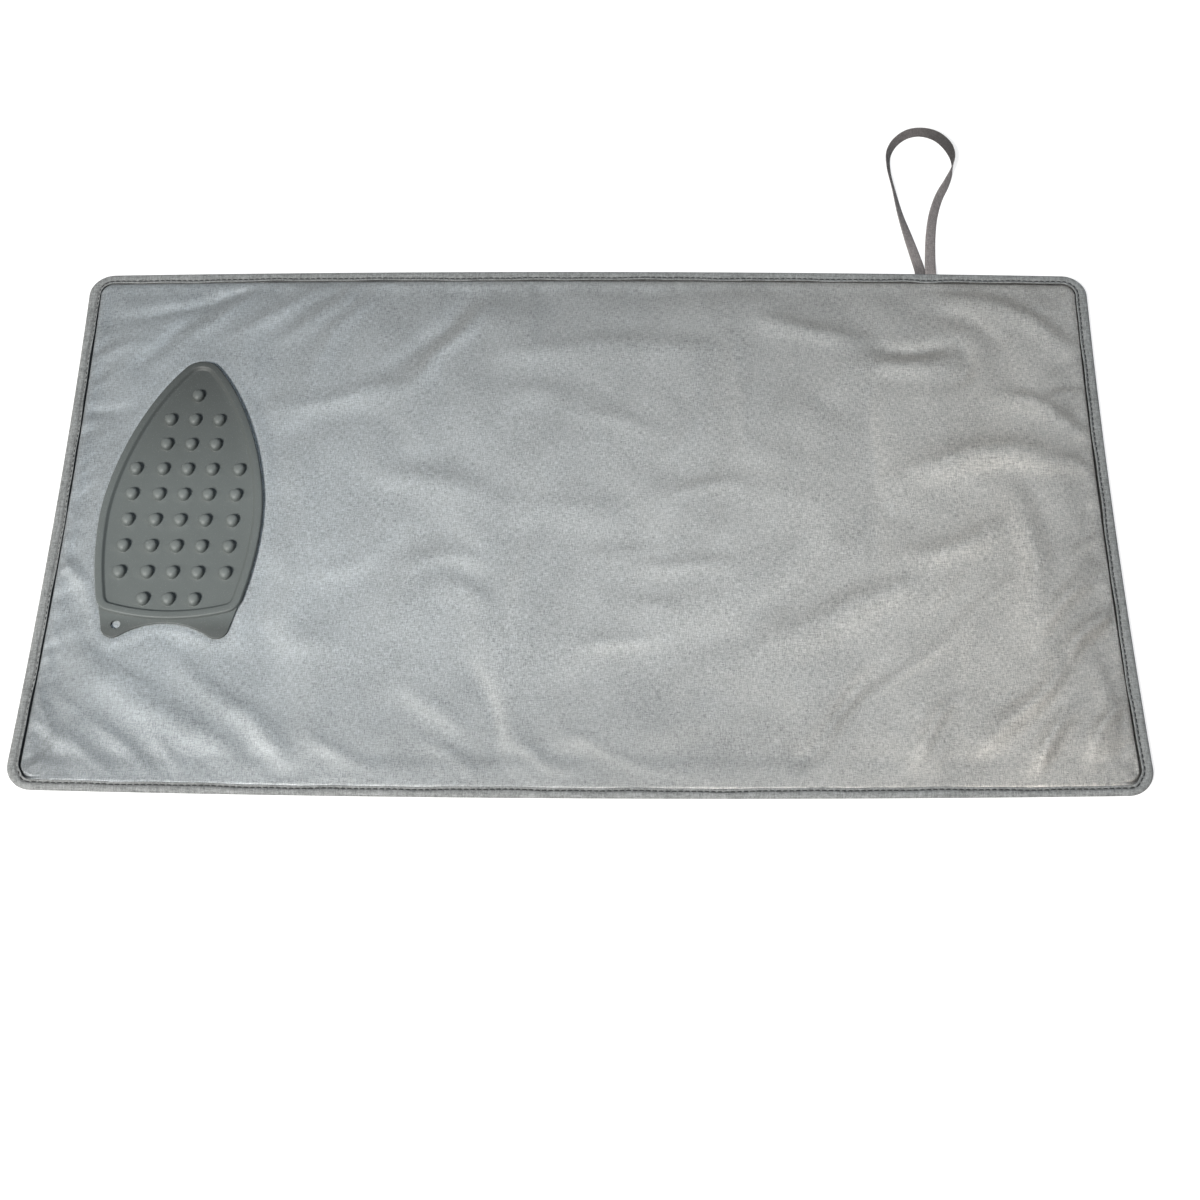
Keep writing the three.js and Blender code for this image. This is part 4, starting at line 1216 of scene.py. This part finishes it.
def rest_tail():
    """Flap: outline rings with round edges, closed by flat faces."""
    low = arc((TAIL_ROUND, TAIL_ROUND), TAIL_ROUND, 270, 180, 3)
    high = arc((TAIL_ROUND, TAIL_THICKNESS - TAIL_ROUND), TAIL_ROUND, 180, 90, 3)
    rings = stacked(np.vstack([low, high]), tail_side)[:, ::-1]
    return rings.reshape(-1, 3), tube_faces(*rings.shape[:2])


def rest_nubs():
    """Nubs: a profile of a fillet and a dome turned about each nub's axis, then drawn out along the rest and
    narrowed towards its rear like an egg."""
    foot_radius = NUB_RADIUS + NUB_FILLET
    root = np.array([[foot_radius, -NUB_ROOT], [foot_radius, -NUB_SINK]])
    fillet = arc((foot_radius, NUB_FILLET), NUB_FILLET, 270, 180, 4)[1:]
    dome = arc((0, 0), 1, 0, 90, 10)[1:-1] ** NUB_FULLNESS
    dome = dome * np.array([NUB_RADIUS, NUB_HEIGHT - NUB_FILLET]) + np.array([0, NUB_FILLET])
    profile = np.vstack([root, fillet, dome])
    around = np.radians(np.arange(NUB_SIDES) * 360 / NUB_SIDES)
    turned = np.stack([
        profile[:, :1] * np.cos(around) * (1 + NUB_TAPER * np.sin(around)),
        profile[:, :1] * np.sin(around) * NUB_STRETCH,
        np.repeat(profile[:, 1:], len(around), axis=1),
    ], axis=-1)
    nub = np.vstack([turned.reshape(-1, 3), [[0, 0, NUB_HEIGHT], [0, 0, -NUB_ROOT]]])
    skin = grid_faces(*turned.shape[:2], columns_close=True).tolist()
    top, foot = len(nub) - 2, len(nub) - 1
    last = (len(profile) - 1) * NUB_SIDES
    skin += [[last + k, last + (k + 1) % NUB_SIDES, top] for k in range(NUB_SIDES)]
    skin += [[(k + 1) % NUB_SIDES, k, foot] for k in range(NUB_SIDES)]
    points = []
    for row, count in enumerate(NUBS_IN_ROW):
        sides = [NUB_COLUMN_PITCH, NUB_COLUMN_PITCH + NUB_OUTER_STEP][: (count - 1) // 2]
        for x in [0, *sides, *[-s for s in sides]]:
            points.append(nub + np.array([x, NUB_REAR_MARGIN + row * NUB_ROW_PITCH, REST_FLOOR]))
    return np.vstack(points), repeated(skin, len(points), len(nub))


def hole_cutter():
    """Round bar through the tail's hanging hole."""
    ring = arc(HANG_HOLE_PLACE, HANG_HOLE / 2, 0, 360, 36)[:-1]
    return np.vstack([raised(ring, z) for z in HOLE_CUT]), tube_faces(len(HOLE_CUT), len(ring))


def tool_piece(name, points_and_faces):
    """Closed helper mesh with its doubles merged and its faces turned out."""
    points, faces = points_and_faces
    piece = make_piece(name, on_rest(points), faces)
    work = bmesh.new()
    work.from_mesh(piece.data)
    bmesh.ops.remove_doubles(work, verts=work.verts, dist=1e-6)
    bmesh.ops.recalc_face_normals(work, faces=work.faces)
    work.to_mesh(piece.data)
    work.free()
    return piece


def make_rest():
    """Rest: plate, tail and nubs joined to one closed skin, with the hanging hole cut."""
    body = tool_piece("nubbed_rest", rest_body())
    steps = [
        ("tail", rest_tail(), "UNION"),
        ("nubs", rest_nubs(), "UNION"),
        ("hole", hole_cutter(), "DIFFERENCE"),
    ]
    tools = []
    for name, shape, operation in steps:
        tool = tool_piece("tool_" + name, shape)
        cut = body.modifiers.new(name, "BOOLEAN")
        cut.operation = operation
        cut.solver = "EXACT"
        cut.object = tool
        tools.append(tool)
    seen = body.evaluated_get(bpy.context.evaluated_depsgraph_get())
    mesh = bpy.data.meshes.new_from_object(seen)
    body.modifiers.clear()
    body.data = mesh
    for tool in tools:
        bpy.data.objects.remove(tool)
    mesh.materials.clear()
    mesh.materials.append(silicone)
    mesh.shade_smooth()
    mesh.set_sharp_from_angle(angle=math.radians(REST_CREASE))
    return body


nubbed_rest = make_rest()


# Solids hidden where the pieces stand in for them, and what each piece moves with

for piece, node, slot in (
    (face_cover, "face_cloth", "face"),
    (back_cover, "back_cloth", "back"),
    (felt_filling, "wadding", "wadding"),
    (bound_edge, "edge_binding", "binding"),
    (needle_stitches, "needle_thread", "thread"),
    (bobbin_stitches, "bobbin_thread", "thread"),
    (tape_loop, "hanging_loop", "tape"),
    (nubbed_rest, "iron_rest", "silicone"),
):
    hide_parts(node)

for piece in (face_cover, back_cover, felt_filling, bound_edge, needle_stitches, bobbin_stitches):
    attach(piece, "pad")
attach(nubbed_rest, "rest")
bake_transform(tape_loop)


# Table, light and camera


def empty_tree(owner):
    """Node tree of a material or a world, cleared."""
    owner.use_nodes = True
    owner.node_tree.nodes.clear()
    return Tree(owner.node_tree)


def make_floor():
    """Table top: pale, and seen as white where no shadow falls on it."""
    corners = [(x * FLOOR_SIDE, y * FLOOR_SIDE, -FLOOR_DROP) for x, y in ((-1, -1), (1, -1), (1, 1), (-1, 1))]
    material = bpy.data.materials.new("white_table")
    tree = empty_tree(material)
    paths = tree.add("ShaderNodeLightPath").outputs
    seen = tree.math("MAXIMUM", paths["Is Camera Ray"], paths["Is Glossy Ray"])
    seen = tree.math("MAXIMUM", seen, paths["Is Transmission Ray"])
    plain = tree.add("ShaderNodeBsdfDiffuse", {"Color": srgb(235, 235, 235)})
    dimmed = tree.add("ShaderNodeBsdfDiffuse", {"Color": FLOOR_SEEN})
    glow = tree.add("ShaderNodeEmission", {"Strength": FLOOR_GLOW})
    both = tree.add("ShaderNodeAddShader", {0: dimmed.outputs[0], 1: glow.outputs[0]})
    mix = tree.add("ShaderNodeMixShader", {0: seen, 1: plain.outputs[0], 2: both.outputs[0]})
    tree.add("ShaderNodeOutputMaterial", {"Surface": mix.outputs[0]})
    make_piece("table_top", corners, [[0, 1, 2, 3]], material)


def make_world():
    """Studio round the table: white walls up to the eye line, dimmer towards the ceiling."""
    world = bpy.data.worlds.new("studio")
    bpy.context.scene.world = world
    tree = empty_tree(world)
    height = tree.parts(tree.add("ShaderNodeTexCoord").outputs["Generated"])["Z"]
    strength = tree.spread(height, 0.04, 0.14, 1.0, CEILING)
    walls = tree.add("ShaderNodeBackground", {"Color": (1, 1, 1, 1), "Strength": strength})
    tree.add("ShaderNodeOutputWorld", {"Surface": walls.outputs[0]})


def softbox(name, place, target, wide, high, watts, tint):
    """Four-sided lamp at a place in metres, facing a target."""
    lamp = bpy.data.lights.new(name, "AREA")
    lamp.shape = "RECTANGLE"
    lamp.size = wide
    lamp.size_y = high
    lamp.energy = watts
    lamp.color = tint
    holder = add_object(name, lamp)
    holder.location = place
    holder.rotation_euler = (Vector(target) - Vector(place)).to_track_quat("-Z", "Y").to_euler()


def make_camera():
    """Camera at the photograph's place, turned by its pitch, yaw and roll."""
    pitch, yaw, roll = CAMERA_PITCH, CAMERA_YAW, CAMERA_ROLL
    ahead = Vector((math.sin(yaw) * math.cos(pitch), math.cos(yaw) * math.cos(pitch), -math.sin(pitch)))
    level = Vector((math.cos(yaw), -math.sin(yaw), 0))
    above = level.cross(ahead)
    right = math.cos(roll) * level + math.sin(roll) * above
    up = math.cos(roll) * above - math.sin(roll) * level
    lens = bpy.data.cameras.new("camera")
    lens.lens = CAMERA_LENS
    lens.sensor_width = CAMERA_SENSOR
    camera = add_object("camera", lens)
    turn = Matrix((right, up, -ahead)).transposed().to_4x4()
    camera.matrix_world = Matrix.Translation(Vector(CAMERA_PLACE) / METRE) @ turn
    bpy.context.scene.camera = camera


make_floor()
make_world()
for lamp in LAMPS:
    softbox(*lamp)
make_camera()
bpy.context.scene.view_settings.view_transform = "Standard"
